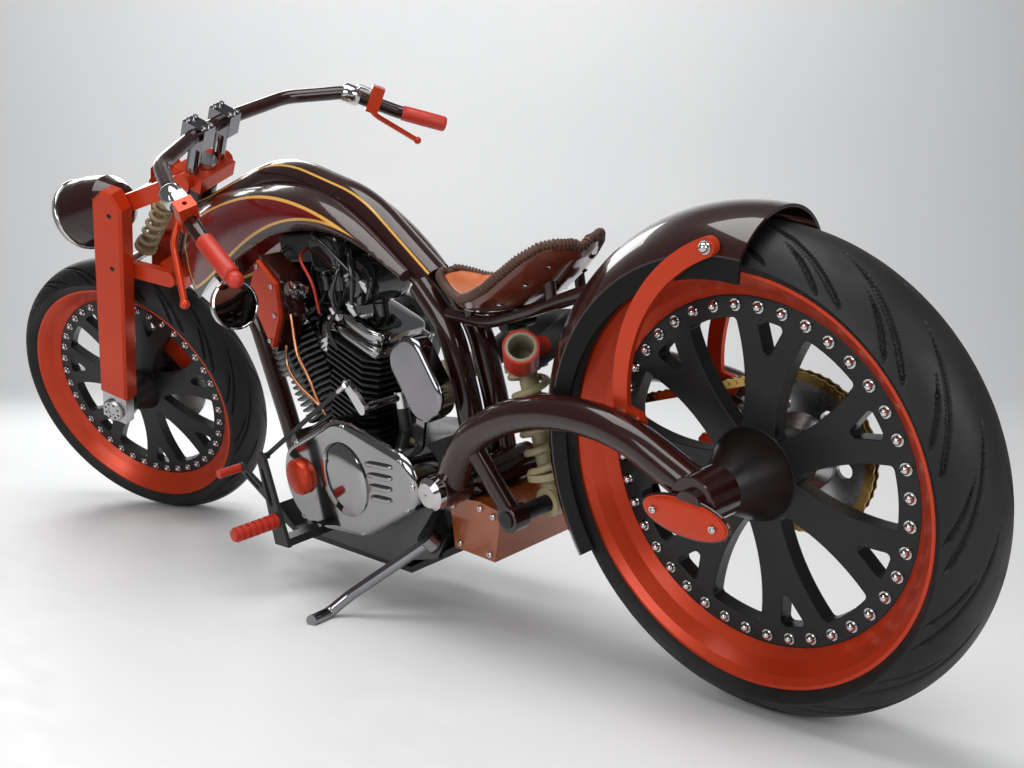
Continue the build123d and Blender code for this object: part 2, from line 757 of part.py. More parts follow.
def seat_frame(saddle, legs):
    """Two rails from the legs to the fender, with posts under the saddle."""
    rails = []
    for s in (-1, 1):
        y = s * SEAT_RAIL_Y
        rail = tube(in_plane(SEAT_RAIL_POINTS, y), SEAT_RAIL_R, SEAT_RAIL_BENDS)
        for x, z in SEAT_POSTS:
            rail += rod((x, y, z), (x, y, z + 60), 9)
        rails.append(largest(rail - saddle - legs - fender_room()))
    return rails


ARM_POINTS = [(PIVOT_X, PIVOT_Z), (508, 398), (322, 474), (140, 446), (0, TYRE_R)]
ARM_BENDS = [80, 150, 240]


def swingarm(y):
    """One arched arm with its axle block at the rear end."""
    arm = tube(in_plane(ARM_POINTS, y), ARM_R, ARM_BENDS)
    block = turned([(0, y - ARM_BLOCK), (38, y - ARM_BLOCK), (38, y + ARM_BLOCK), (0, y + ARM_BLOCK)],
                   REAR_AXLE)
    eye = rod((PIVOT_X, y - ARM_BLOCK, PIVOT_Z), (PIVOT_X, y + ARM_BLOCK, PIVOT_Z), 32)
    arm += block + eye + arm_brace(y)
    return arm - axle_bore(REAR_AXLE, AXLE_R + AXLE_FIT) - pivot_bar(FIT) - shock_pin()


# Where each arm's brace meets the lower shock pin
BRACE_IN = {ARM_LEFT_Y: 96.0, ARM_RIGHT_Y: -74.0}


def arm_brace(y):
    """The stay from one arm down to the lower shock pin, ending in an eye."""
    x, z = SHOCK_LOW
    low_y = BRACE_IN[y]
    stay = tube([(502, y, 392), (x + 34, (y + low_y) / 2, z + 76), (x, low_y, z)], BRACE_R, [90])
    return stay + rod((x, low_y - 17, z), (x, low_y + 17, z), 24)


def shock_pin(grow=0.0):
    """The pin between the two braces that carries the foot of the damper."""
    return rod(at_side(SHOCK_LOW, BRACE_IN[ARM_RIGHT_Y] - 20), at_side(SHOCK_LOW, BRACE_IN[ARM_LEFT_Y] + 20),
               SHOCK_PIN_R + grow)


def caliper(face, middle_y, disc_half, disc_r, centre):
    """A brake caliper across a disc, open for the disc's edge."""
    half = disc_half + PAD_GAP + CALIPER_WALL
    body = side(face, middle_y - half, middle_y + half)
    body = chamfer(body.edges().filter_by(Axis.Y), 10)
    gap = turned([(0, middle_y - disc_half - PAD_GAP), (disc_r, middle_y - disc_half - PAD_GAP),
                  (disc_r, middle_y + disc_half + PAD_GAP), (0, middle_y + disc_half + PAD_GAP)], centre)
    return body - gap


def rear_caliper():
    """The rear caliper inside the chain loop, and its stay to the right arm."""
    face = Pos(138, TYRE_R - 18) * Rectangle(78, 72)
    body = caliper(face, CHAIN_Y, SPROCKET_THICK / 2, CHAIN_R + 10, REAR_AXLE)
    stay = rod((152, CHAIN_Y - 16, TYRE_R + 6), (150, ARM_RIGHT_Y, 444), 9)
    return body + stay


def strut_face():
    """The bowed flat bar in side view, with its toe along the arm."""
    bow = trace(ThreePointArc(*STRUT_POINTS), STRUT_WIDE)
    ends = [Pos(*spot) * Circle(STRUT_WIDE / 2) for spot in (STRUT_POINTS[0], STRUT_POINTS[-1])]
    toe = make_hull((Pos(*STRUT_POINTS[-1]) * Circle(17)).edges() + (Pos(*STRUT_TOE) * Circle(17)).edges())
    return bow + ends[0] + ends[1] + toe


def fender_struts(left_arm, right_arm):
    """The painted stays from the arms up to the fender's sides."""
    face = strut_face()
    room = fender_room()
    left = side(face, FENDER_HALF - 4, FENDER_HALF + STRUT_THICK) - room - left_arm
    right = side(face, RIGHT_STRUT_Y - STRUT_THICK, RIGHT_STRUT_Y)
    right += rod(at_side(STRUT_POINTS[0], RIGHT_STRUT_Y), at_side(STRUT_POINTS[0], -FENDER_HALF + 12), 14)
    return [largest(left), largest(right - room - right_arm)]


def pivot_bar(grow=0.0):
    """The shaft that carries both arms in the legs."""
    return rod((PIVOT_X, ARM_RIGHT_Y - ARM_BLOCK, PIVOT_Z), (PIVOT_X, ARM_LEFT_Y + ARM_BLOCK, PIVOT_Z),
               16 + grow)


def pivot_caps():
    """The domed nuts on the ends of the pivot shaft."""
    caps = []
    for y, s in ((ARM_LEFT_Y + ARM_BLOCK, 1), (ARM_RIGHT_Y - ARM_BLOCK, -1)):
        caps.append(turned([(0, y), (30, y), (30, y + s * 14), (22, y + s * 22), (0, y + s * 24)],
                           Vector(PIVOT_X, 0, PIVOT_Z)))
    return caps


def rear_axle():
    """The axle through both arms and the hub, with its nuts."""
    left = ARM_LEFT_Y + ARM_BLOCK
    right = ARM_RIGHT_Y - ARM_BLOCK
    inner = ARM_RIGHT_Y + ARM_BLOCK
    return turned([
        (0, right - 14), (20, right - 14), (20, right), (AXLE_R, right), (AXLE_R, inner), (24, inner),
        (24, CARRIER_Y - 0.5), (AXLE_R, CARRIER_Y - 0.5), (AXLE_R, left), (20, left), (20, left + 8),
        (0, left + 8),
    ], REAR_AXLE)


def axle_cover():
    """The painted oval plate over the left axle block."""
    face = Pos(10, TYRE_R - 20) * Rot(0, 0, 7) * Ellipse(74, 28)
    block = ARM_LEFT_Y + ARM_BLOCK
    nut = axle_bore(REAR_AXLE, 20 + FIT)
    return side(face, block, block + 8) - nut


def oil_box():
    """The square oil box below the pivot."""
    face = outline((628, 168), (520, 158), (484, 256), (540, 268), (622, 266))
    return side(face, -92, 92)


def coil(low, high, radius, wire, turns):
    """A coil spring of round wire between two points, as short runs joined by arcs."""
    count = round(turns * COIL_STEPS)
    rise = (high - low).length / count
    points = []
    for k in range(count + 1):
        x, y = polar(radius, 360.0 * k / COIL_STEPS)
        points.append((x, y, k * rise))
    bend = 0.9 * radius * cos(radians(180.0 / COIL_STEPS))
    return Plane(low, z_dir=high - low) * tube(points, wire, bend)


def sprung(low, high, rod_r, collar_r, spring_low, spring_high, turns, wire):
    """A damper rod with two collars and the coil held between them."""
    way = (high - low).normalized()
    start = low + way * spring_low
    stop = high - way * spring_high
    body = rod(low, high, rod_r) + rod(start - way * 12, start, collar_r) + rod(stop, stop + way * 12, collar_r)
    return body + coil(start - way * 0.5 * wire, stop + way * 0.5 * wire, collar_r - wire, wire, turns)


def rear_shock():
    """Damper and spring between the seat rails and the lower pin."""
    low = Vector(*at_side(SHOCK_LOW, 0))
    high = Vector(*at_side(SHOCK_TOP, 0))
    eye = rod(at_side(SHOCK_LOW, -18), at_side(SHOCK_LOW, 18), SHOCK_EYE_R)
    return sprung(low, high, 17, 38, 54, 70, 5.5, 6.5) + eye - shock_pin(AXLE_FIT)


def shock_mounts(rails):
    """The cross bar between the seat rails that holds the top of the damper, and the lower pin."""
    bar = rod((SHOCK_TOP[0], -SEAT_RAIL_Y, SHOCK_TOP[1] + 12 + FIT),
              (SHOCK_TOP[0], SEAT_RAIL_Y, SHOCK_TOP[1] + 12 + FIT), 12)
    return [largest(bar - rails[0] - rails[1]), shock_pin()]


# Front end, drawn pointing straight ahead

def fork_blade():
    """The left girder blade: a flat bar with a pointed top."""
    top = Vector(*BLADE_TOP)
    low = Vector(*BLADE_LOW)
    way = (low - top).normalized()
    across = Vector(-way.Y, way.X) * (BLADE_WIDE / 2)
    shoulder = top + way * 34
    points = [top + across * 0.35, top - across * 0.35, shoulder - across, low - across, low + across,
              shoulder + across]
    bar = side(outline(*[(p.X, p.Y) for p in points]), BLADE_IN, BLADE_OUT)
    return chamfer(bar.faces().sort_by(Axis.Y)[-1].edges(), 6)


def fork_end():
    """The bare plate that clamps the axle under the left blade."""
    top = Vector(*BLADE_TOP)
    low = Vector(*BLADE_LOW)
    way = (low - top).normalized()
    across = Vector(-way.Y, way.X) * 36
    tip = low + way * 78
    points = [low + across, low - across, tip - across, tip + across]
    bar = side(outline(*[(p.X, p.Y) for p in points]), BLADE_IN + 6, BLADE_OUT - 6)
    return bar - axle_bore(FRONT_AXLE, AXLE_R + AXLE_FIT)


def front_axle():
    """The axle between the fork ends, with its round nuts."""
    out = BLADE_OUT - 6
    inner = BLADE_IN + 6
    hub = FRONT_HUB_HALF + 0.5
    half = [(0, out + 8), (24, out + 8), (24, out), (AXLE_R, out), (AXLE_R, inner), (20, inner),
            (20, hub), (AXLE_R, hub)]
    return turned(half + [(r, -y) for r, y in reversed(half)], FRONT_AXLE)


UPPER_PIVOT = Vector(1700, 0, 868)
LOWER_PIVOT = Vector(1768, 0, 725)


def upper_clamp_centre():
    """The middle of the clamp above the head."""
    return steer_point(HEAD_HIGH) + STEER_UP * (CLAMP_GAP + CLAMP_TALL / 2)


def lower_clamp_centre():
    """The middle of the clamp below the head."""
    return steer_point(HEAD_LOW) - STEER_UP * (CLAMP_GAP + CLAMP_TALL / 2)


def clamp_block(centre):
    """A clamp round the stem, as wide as the links beside it."""
    return Pos(*centre) * Rot(0, -RAKE, 0) * Box(76, 128, CLAMP_TALL)


def steering_stem():
    """The stem in the head tube with its top nut."""
    low = steer_point(HEAD_LOW) - STEER_UP * 44
    high = steer_point(HEAD_HIGH) + STEER_UP * 48
    return rod(low, high, STEM_R) + rod(high, high + STEER_UP * 12, 26)


def upper_clamp():
    """The painted clamp above the head."""
    return clamp_block(upper_clamp_centre()) - steering_stem_room()


def lower_clamp():
    """The painted clamp below the head."""
    return clamp_block(lower_clamp_centre()) - steering_stem_room()


def steering_stem_room():
    """The room of the stem inside its clamps."""
    low = steer_point(HEAD_LOW) - STEER_UP * 90
    high = steer_point(HEAD_HIGH) + STEER_UP * 90
    return rod(low, high, STEM_R)


def fork_links():
    """Upper and lower links on both sides, with the cross pins through the blades."""
    links = []
    for start, end in ((upper_clamp_centre(), UPPER_PIVOT), (lower_clamp_centre(), LOWER_PIVOT)):
        for s in (-1, 1):
            y_low, y_high = sorted((s * (64 + FIT), s * 84))
            arm = make_hull((Pos(start.X, start.Z) * Circle(20)).edges()
                            + (Pos(end.X, end.Z) * Circle(20)).edges())
            links.append(side(arm, y_low, y_high) - link_pin(end, STEM_FIT))
    return links


def link_pin(spot, grow=0.0):
    """One cross pin from blade to blade."""
    return rod((spot.X, -BLADE_IN, spot.Z), (spot.X, BLADE_IN, spot.Z), 11 + grow)


def link_pins():
    """Pins between the two blades at the ends of the links."""
    return [link_pin(spot) for spot in (UPPER_PIVOT, LOWER_PIVOT)]


def front_spring():
    """The coil between the clamps and the lower link pin."""
    high = Vector(1612, 0, 850)
    return sprung(LOWER_PIVOT, high, 9, 27, 34, 18, 5.5, 5) - link_pin(LOWER_PIVOT, STEM_FIT)


def front_caliper():
    """The front caliper on the right, behind the blade that carries it."""
    spot = Pos(FRONT_AXLE.X, FRONT_AXLE.Z) * Rot(0, 0, 152) * Pos(134, 0)
    body = caliper(spot * Rectangle(64, 82), DISC_Y, DISC_HALF, DISC_R + 6, FRONT_AXLE)
    on_blade = Vector(*BLADE_LOW) + Vector(-24, 44)
    lug = make_hull((spot * Circle(17)).edges() + (Pos(on_blade.X, on_blade.Y) * Circle(20)).edges())
    return body + side(lug, -BLADE_IN - 12, DISC_Y - DISC_HALF - PAD_GAP)


def headlamp():
    """The bucket of the lamp."""
    profile = outline((0, 0), (84, 0), (84, 20), (80, 60), (66, 120), (40, 150), (0, 160))
    bucket = Pos(1900, 0, 846) * Rot(0, 8, 0) * Rot(0, 0, 90) * revolve(profile, Axis.Y)
    return bucket + rod((1734, -BLADE_IN, 862), (1734, BLADE_IN, 862), 12)


def headlamp_lens():
    """The domed glass and its rim."""
    profile = outline((0, 0), (84, 0), (84, -10), (70, -18), (0, -26))
    turn = revolve(profile, Axis.Y)
    return Pos(1900, 0, 846) * Rot(0, 8, 0) * Rot(0, 0, 90) * turn


# Offsets from the bar's seat on the risers
BAR_STEPS = [
    # back, out, up
    (0, 60, 0),
    (41, 232, -12),
    (137, 333, -49),
    (223, 389, -130),
    (304, 441, -193),
]


def riser_foot():
    """The middle of the upper clamp's top face."""
    return steer_point(HEAD_HIGH) + STEER_UP * (CLAMP_GAP + CLAMP_TALL)


def bar_point(step, s):
    """One corner of the bar's route on the left (1) or right (-1)."""
    back, out, up = step
    seat_at = riser_foot() + STEER_UP * RISER_TALL
    return seat_at + Vector(-back, s * out, up)


def handlebar():
    """The swept bar, the same on both sides."""
    route = [bar_point(step, -1) for step in reversed(BAR_STEPS)]
    route += [bar_point(step, 1) for step in BAR_STEPS]
    return tube(route, BAR_R, [60, 90, 90, 40, 40, 90, 90, 60])


def grip(s):
    """One hand grip, bored over the bar's end."""
    start = bar_point(BAR_STEPS[-2], s)
    end = bar_point(BAR_STEPS[-1], s)
    way = (end - start).normalized()
    return rod(start + way * 12, end + way * 8, GRIP_R) - rod(start, end + way * FIT, BAR_R + 0.05)


def perch_plane(s):
    """The seat of one lever perch on the bar: x up across the bar, z along it."""
    start = bar_point(BAR_STEPS[-3], s)
    end = bar_point(BAR_STEPS[-2], s)
    way = (end - start).normalized()
    up = Vector(0, 0, 1) - way * way.Z
    return Plane(start + (end - start) * PERCH_SHARE, x_dir=up, z_dir=way)


def lever(s):
    """One hand lever, from inside its perch out to a ball end."""
    root = perch_plane(s).origin
    tip = Vector(LEVER_TIP[0], s * LEVER_TIP[1], LEVER_TIP[2])
    bend = root + (tip - root) * 0.3 + Vector(34, 0, 4)
    start = root + Vector(22, 0, 0)
    return tube([start, bend, tip], LEVER_R, [60]) + Pos(*tip) * Sphere(LEVER_R + 3)


def bar_end_mirror():
    """The ball on the left bar end and the round mirror that hangs from it."""
    start = bar_point(BAR_STEPS[-2], 1)
    end = bar_point(BAR_STEPS[-1], 1)
    way = (end - start).normalized()
    ball = end + way * (8 + 0.6 * BALL_R)
    centre = Vector(*MIRROR_AT)
    stem = centre - ball
    knob = Plane(ball, x_dir=way * stem.dot(way) - stem, z_dir=way) * Sphere(BALL_R)
    face = Plane(centre, z_dir=(-1, 0.35, 0.1))
    glass = face * Cylinder(MIRROR_R, MIRROR_THICK)
    glass = chamfer(glass.edges(), 3)
    return knob + rod(ball, centre, 5) + glass


def perch(s, bar):
    """The clamp of one hand lever, with a threaded hole for a mirror on its top."""
    top = BAR_R + PERCH_TOP
    block = Pos((top - BAR_R - 7) / 2, 0, 0) * Box(top + BAR_R + 7, 38, 30)
    hole = Pos(top - MIRROR_DEPTH / 2, 0, 0) * Rot(0, 90, 0) * Cylinder(MIRROR_HOLE_R, MIRROR_DEPTH)
    return perch_plane(s) * (block - hole) + lever(s) - bar


def risers(bar):
    """The two polished posts with caps that hold the bar."""
    posts = []
    for s in (-1, 1):
        foot = riser_foot() + Vector(0, s * RISER_Y, 0)
        seat_at = foot + STEER_UP * RISER_TALL
        cap = Pos(*seat_at) * Rot(0, -RAKE, 0) * Box(58, 40, 52)
        posts.append(rod(foot, seat_at, 15) + cap - bar)
    return posts


# Side stand

def stand_foot(reach=0.0, out=0.0):
    """A point of the foot's middle line, just above the floor."""
    spot = Pos(STAND_FOOT[0] + reach, STAND_FOOT[1] + out, 0.7 * STAND_R)
    return (PARKED.inverse() * spot).position


def stand_hinge():
    """The plane of the stand's swing: x along the leg, z along the hinge pin."""
    pivot = Vector(*STAND_PIVOT)
    leg = stand_foot() - pivot
    return Plane(pivot, x_dir=leg, z_dir=leg.cross(Vector(*STAND_FOLD_DIR)))


def side_stand():
    """The leg from its pivot eye out to a bent foot that rests flat on the floor."""
    pivot = Vector(*STAND_PIVOT)
    foot = stand_foot()
    knee = pivot + (foot - pivot) * 0.82 + Vector(6, -14, 4)
    leg = tube([pivot, knee, foot, stand_foot(-22, 52)], STAND_R, [40, 20])
    eye = stand_hinge() * Cylinder(STAND_EYE_R, STAND_EYE_TALL)
    ground = PARKED.inverse() * Pos(0, 0, -50) * Box(4000, 4000, 100)
    return leg + eye - stand_pin(AXLE_FIT) - ground


def stand_pin(grow=0.0):
    """The pin through the stand's eye and its two ears."""
    return stand_hinge() * Cylinder(7 + grow, STAND_EYE_TALL + 2 * EAR_THICK + 4)


def stand_bracket(case):
    """Two ears and their web, from the case out to the stand's pin."""
    tall = STAND_EYE_TALL / 2 + EAR_FIT
    ears = Pos(0, 0, tall) * stand_ear() + Pos(0, 0, -tall - EAR_THICK) * stand_ear()
    web_tall = 2 * (tall + EAR_THICK)
    web = Rot(0, 0, EAR_ANGLE) * Pos(WEB_NEAR + 40, 0, 0) * Box(80, 26, web_tall)
    return largest(stand_hinge() * (ears + web) - case) + stand_pin()


def stand_ear():
    """One flat ear round the pin, pointing at the case."""
    lug = make_hull(Circle(15).edges() + (Rot(0, 0, EAR_ANGLE) * Pos(30, 0) * Circle(13)).edges())
    return extrude(lug, EAR_THICK)


# The nodes of each body, upright and pointing straight ahead

def chassis_nodes():
    head = steering_head()
    spine = frame_backbone()
    legs = frame_legs(spine)
    down = frame_downtube()
    cradle = engine_cradle(down)
    lobe = tank_lobe()
    caps = pivot_caps()
    case = crankcase(down, cradle)
    saddle = seat()
    primary = primary_cover()
    rails = seat_frame(saddle, legs)
    barrels = [cylinder(1), cylinder(-1)]
    left_arm = swingarm(ARM_LEFT_Y)
    right_arm = swingarm(ARM_RIGHT_Y) + rear_caliper()
    return {
        "steering_head": head,
        "frame_backbone": spine,
        "frame_legs": legs,
        "frame_downtube": down,
        "engine_cradle": cradle,
        "tank_left": lobe,
        "tank_right": mirrored(lobe),
        "crankcase": case,
        "cylinder_front": barrels[0],
        "cylinder_rear": barrels[1],
        "rocker_box_front": rocker_box(1),
        "rocker_box_rear": rocker_box(-1),
        "primary_cover": primary,
        "crank_cap": crank_cap(),
        "cam_cover": cam_cover(),
        "side_box": side_box(),
        "side_plate": side_plate(),
        "filter_cover": filter_cover(primary),
        "seat": saddle,
        "seat_frame": rails,
        "rear_fender": fender(),
        "swingarm_left": left_arm,
        "swingarm_right": right_arm,
        "swingarm_pivot": [pivot_bar()] + caps,
        "rear_axle": rear_axle(),
        "axle_cover": axle_cover(),
        "oil_box": oil_box(),
        "rear_shock": rear_shock(),
        "shock_mounts": shock_mounts(rails),
        "drive_chain": drive_chain(),
        "stand_bracket": stand_bracket(case),
        "fender_struts": fender_struts(left_arm, right_arm),
        "foot_controls": foot_controls(case),
        "exhaust_pipes": exhaust_pipes(),
        "intake": intake(barrels),
    }


def steering_nodes():
    blade = fork_blade()
    end = fork_end()
    bar = handlebar()
    return {
        "steering_stem": steering_stem(),
        "upper_clamp": upper_clamp(),
        "lower_clamp": lower_clamp(),
        "fork_links": fork_links(),
        "link_pins": link_pins(),
        "fork_blade_left": blade,
        "fork_blade_right": mirrored(blade) + front_caliper(),
        "fork_ends": [end, mirrored(end)],
        "front_axle": front_axle(),
        "front_spring": front_spring(),
        "headlamp": headlamp(),
        "headlamp_lens": headlamp_lens(),
        "handlebar": bar,
        "grips": [grip(1) + bar_end_mirror(), grip(-1)],
        "risers": risers(bar),
        "lever_perches": [perch(1, bar), perch(-1, bar)],
    }


def rear_wheel_nodes():
    pieces = {
        "rear_tyre": tyre(REAR_CROWN, REAR_RIM_HALF),
        "rear_rim": rim(REAR_RIM_HALF),
        "rear_spokes": spoked_centre(REAR_PHASE, REAR_HUB),
        "rear_sprocket": rear_sprocket(),
    }
    return {name: Pos(*REAR_AXLE) * s for name, s in pieces.items()}


def front_wheel_nodes():
    pieces = {
        "front_tyre": tyre(FRONT_CROWN, FRONT_RIM_HALF),
        "front_rim": rim(FRONT_RIM_HALF),
        "front_spokes": spoked_centre(FRONT_PHASE, FRONT_HUB),
        "front_disc": front_disc(),
    }
    return {name: Pos(*FRONT_AXLE) * s for name, s in pieces.items()}


# Parked pose: the leaning machine with both tyres on the floor

def lowest(location, centre, axle, crown):
    """The height of the lowest point of a round-crowned tyre at a pose."""
    moved = location * Pos(*centre)
    across = (location * Pos(*(centre + axle))).position - moved.position
    return moved.position.Z - (TYRE_R - crown) * sqrt(1 - across.Z ** 2) - crown


def parked():
    """The pose that leans the machine and sets both tyres on the floor."""
    steered = Vertex(*FRONT_AXLE).rotate(STEER_AXIS, STEER_STOP).center()
    turned_axle = Vector(0, 1, 0).rotate(Axis((0, 0, 0), STEER_UP), STEER_STOP)
    pitch = 0.0
    for _ in range(4):
        pose = Rot(0, pitch, 0) * Rot(-LEAN, 0, 0)
        rear = lowest(pose, REAR_AXLE, Vector(0, 1, 0), REAR_CROWN)
        front = lowest(pose, steered, turned_axle, FRONT_CROWN)
        pitch += degrees((front - rear) / WHEELBASE)
    return Pos(0, 0, -rear) * pose


PARKED = parked()


def solids_of(shape):
    """A node's solids as a plain list."""
    pieces = shape if isinstance(shape, list) else [shape]
    return [solid for piece in pieces for solid in piece.solids()]


def parked_bodies():
    """The solids of each body's nodes at rest, the origin under the middle of the whole machine."""
    upright = {
        "chassis": chassis_nodes(),
        "rear_wheel": rear_wheel_nodes(),
        "side_stand": {"side_stand": side_stand()},
    }
    front = {"steering": steering_nodes(), "front_wheel": front_wheel_nodes()}
    bodies = {}
    for body, nodes in upright.items():
        bodies[body] = {name: [PARKED * s for s in solids_of(shape)] for name, shape in nodes.items()}
    for body, nodes in front.items():
        bodies[body] = {
            name: [PARKED * s.rotate(STEER_AXIS, STEER_STOP) for s in solids_of(shape)]
            for name, shape in nodes.items()
        }
    pieces = [s for nodes in bodies.values() for solids in nodes.values() for s in solids]
    middle = Compound(pieces).bounding_box().center()
    return bodies, Pos(-middle.X, -middle.Y, 0)


BODIES, CENTRING = parked_bodies()
os.makedirs("parts", exist_ok=True)
for body_nodes in BODIES.values():
    for node_name, node_solids in body_nodes.items():
        placed = [CENTRING * s for s in node_solids]
        export_step(placed[0] if len(placed) == 1 else Compound(placed), f"parts/{node_name}.step")
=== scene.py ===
"""Looks of a low chopper on its side stand: treaded tyres, candy paint, laced saddle, polished engine."""

from __future__ import annotations

import json
import logging
import math
from dataclasses import dataclass
from enum import Enum

import bmesh
import bpy
import numpy as np
from mathutils import Matrix, Vector

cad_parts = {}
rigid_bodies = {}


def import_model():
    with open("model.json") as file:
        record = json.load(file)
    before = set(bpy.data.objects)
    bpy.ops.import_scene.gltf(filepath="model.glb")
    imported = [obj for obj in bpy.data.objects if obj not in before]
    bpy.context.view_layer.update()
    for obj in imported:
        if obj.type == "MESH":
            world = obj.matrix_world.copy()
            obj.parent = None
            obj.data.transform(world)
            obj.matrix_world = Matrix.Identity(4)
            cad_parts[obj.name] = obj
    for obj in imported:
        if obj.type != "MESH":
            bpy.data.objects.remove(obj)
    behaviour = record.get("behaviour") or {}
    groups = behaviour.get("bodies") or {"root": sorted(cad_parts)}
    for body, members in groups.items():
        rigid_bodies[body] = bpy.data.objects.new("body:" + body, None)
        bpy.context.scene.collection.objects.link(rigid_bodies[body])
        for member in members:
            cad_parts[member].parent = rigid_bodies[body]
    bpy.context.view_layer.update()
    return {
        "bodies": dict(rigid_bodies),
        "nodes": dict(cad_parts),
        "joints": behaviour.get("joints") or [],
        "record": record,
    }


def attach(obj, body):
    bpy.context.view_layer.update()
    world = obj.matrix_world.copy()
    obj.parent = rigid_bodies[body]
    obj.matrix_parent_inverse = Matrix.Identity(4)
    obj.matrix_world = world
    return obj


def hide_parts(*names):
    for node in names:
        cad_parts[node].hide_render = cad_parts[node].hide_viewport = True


LOG = logging.getLogger("chopper")
MM = 0.001
FULL_TURN = 2.0 * math.pi

Point = tuple[float, float, float]
Colour = tuple[float, float, float]
Profile = list[tuple[float, float]]

# Sizes that the drawing shares, in millimetres, and its directions

WHEELBASE = 1967.0
TYRE_R = 365.0
RAKE = math.radians(37.0)
FORK_OFFSET = 74.0
STEER_STOP = math.radians(25.0)
STEER_UP = np.array([-math.sin(RAKE), 0.0, math.cos(RAKE)])
STEER_AHEAD = np.array([math.cos(RAKE), 0.0, math.sin(RAKE)])
LEFT = np.array([0.0, 1.0, 0.0])
SIDES = (-1.0, 1.0)


class Frame(Enum):
    """The two ways a piece is drawn: with the leaning frame, or with the turned front end."""

    CHASSIS = "chassis"
    STEERING = "steering"


@dataclass(frozen=True)
class Stance:
    """How the upright drawing, in millimetres, stands in the row frame."""

    turn: np.ndarray
    shift: np.ndarray

    @classmethod
    def from_joints(cls, joints: list[dict]) -> Stance:
        """Reads lean, pitch and place from the rear axle's joint.

        Args:
            joints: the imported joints, which hold the axle's point and direction.

        Returns:
            The stance of the parked machine.
        """
        rear = next(j for j in joints if j["name"] == "rear_wheel_spin")
        axis = np.array(rear["axis"], float)
        lean = math.asin(min(1.0, math.hypot(axis[0], axis[2])))
        pitch = math.atan2(-axis[0], -axis[2])
        turn = np.array(Matrix.Rotation(pitch, 3, "Y") @ Matrix.Rotation(-lean, 3, "X"))
        shift = np.array(rear["pos_m"], float) - turn @ np.array([0.0, 0.0, TYRE_R * MM])
        return cls(turn, shift)

    @staticmethod
    def steer(points: np.ndarray) -> np.ndarray:
        """Turns upright points about the raked steering axis onto the left stop.

        Args:
            points: rows of x, y, z.

        Returns:
            The turned rows.
        """
        base = np.array([WHEELBASE, 0.0, TYRE_R]) - STEER_AHEAD * FORK_OFFSET
        turn = np.array(Matrix.Rotation(STEER_STOP, 3, Vector(STEER_UP)))
        return (points - base) @ turn.T + base

    def place(self, points: np.ndarray, frame: Frame = Frame.CHASSIS) -> np.ndarray:
        """Carries upright millimetre points into the row frame in metres.

        Args:
            points: an array whose last axis is x, y, z in millimetres.
            frame: the leaning frame or the turned front end.

        Returns:
            The points in metres, the same shape.
        """
        flat = np.asarray(points, float).reshape(-1, 3)
        if frame is Frame.STEERING:
            flat = self.steer(flat)
        moved = flat * MM @ self.turn.T + self.shift
        return moved.reshape(np.shape(points))


# Meshes from arrays


@dataclass
class Shell:
    """A mesh as arrays: points, and faces of three or four corners."""

    points: np.ndarray
    faces: list[np.ndarray]

    def moved(self, turn: np.ndarray, shift: np.ndarray | Point) -> Shell:
        """The same shell turned and shifted."""
        return Shell(self.points @ np.asarray(turn).T + np.asarray(shift), self.faces)

    def at(self, x: float, y: float, z: float) -> Shell:
        """The same shell shifted."""
        return Shell(self.points + np.array([x, y, z], float), self.faces)


def joined(shells: list[Shell]) -> Shell:
    """One shell that holds all the given ones, their corner numbers counted on.

    Args:
        shells: the shells to join.

    Returns:
        The joined shell.
    """
    starts = np.cumsum([0] + [len(s.points) for s in shells[:-1]])
    faces = [f + start for s, start in zip(shells, starts) for f in s.faces]
    return Shell(np.vstack([s.points for s in shells]), faces)


def grid_faces(rows: int, cols: int, wrap_rows: bool, wrap_cols: bool) -> np.ndarray:
    """Corner numbers of the quads of a grid, with either side closed on itself.

    Args:
        rows: how many rows of points there are.
        cols: how many points a row has.
        wrap_rows: whether the last row joins the first.
        wrap_cols: whether each row is a ring.

    Returns:
        Four corner numbers a face.
    """
    r = np.arange(rows if wrap_rows else rows - 1)[:, None]
    c = np.arange(cols if wrap_cols else cols - 1)[None, :]
    r2, c2 = (r + 1) % rows, (c + 1) % cols
    corners = [r * cols + c, r2 * cols + c, r2 * cols + c2, r * cols + c2]
    return np.stack([np.broadcast_to(k, (r.shape[0], c.shape[1])) for k in corners], -1).reshape(-1, 4)


def grid_shell(points: np.ndarray, wrap_rows: bool = False, wrap_cols: bool = False) -> Shell:
    """The surface through a grid of points."""
    rows, cols = points.shape[:2]
    return Shell(points.reshape(-1, 3), [grid_faces(rows, cols, wrap_rows, wrap_cols)])


def fan(first: int, count: int, centre: int, flip: bool) -> np.ndarray:
    """Triangles from a ring of corners to one middle corner.

    Args:
        first: the ring's first corner number.
        count: how many corners the ring has.
        centre: the middle corner's number.
        flip: whether the triangles run the other way round.

    Returns:
        Three corner numbers a face.
    """
    ring = first + np.arange(count)
    nxt = first + (np.arange(count) + 1) % count
    order = (nxt, ring) if flip else (ring, nxt)
    return np.stack([*order, np.full(count, centre)], -1)


def slab(upper: np.ndarray, lower: np.ndarray) -> Shell:
    """A closed shell between two grids of one size, joined along their sides and both ends.

    Args:
        upper: the top's grid of points.
        lower: the bottom's grid of points.

    Returns:
        The closed shell.
    """
    ring = np.concatenate([upper, lower[:, ::-1]], 1)
    shell = grid_shell(ring, False, True)
    rows, cols = ring.shape[:2]
    across = np.arange(upper.shape[1])
    for row, flip in ((0, True), (rows - 1, False)):
        strip = row * cols + across
        under = row * cols + cols - 1 - across
        quad = np.stack([strip[:-1], strip[1:], under[1:], under[:-1]], -1)
        shell.faces.append(quad[:, ::-1] if flip else quad)
    return shell


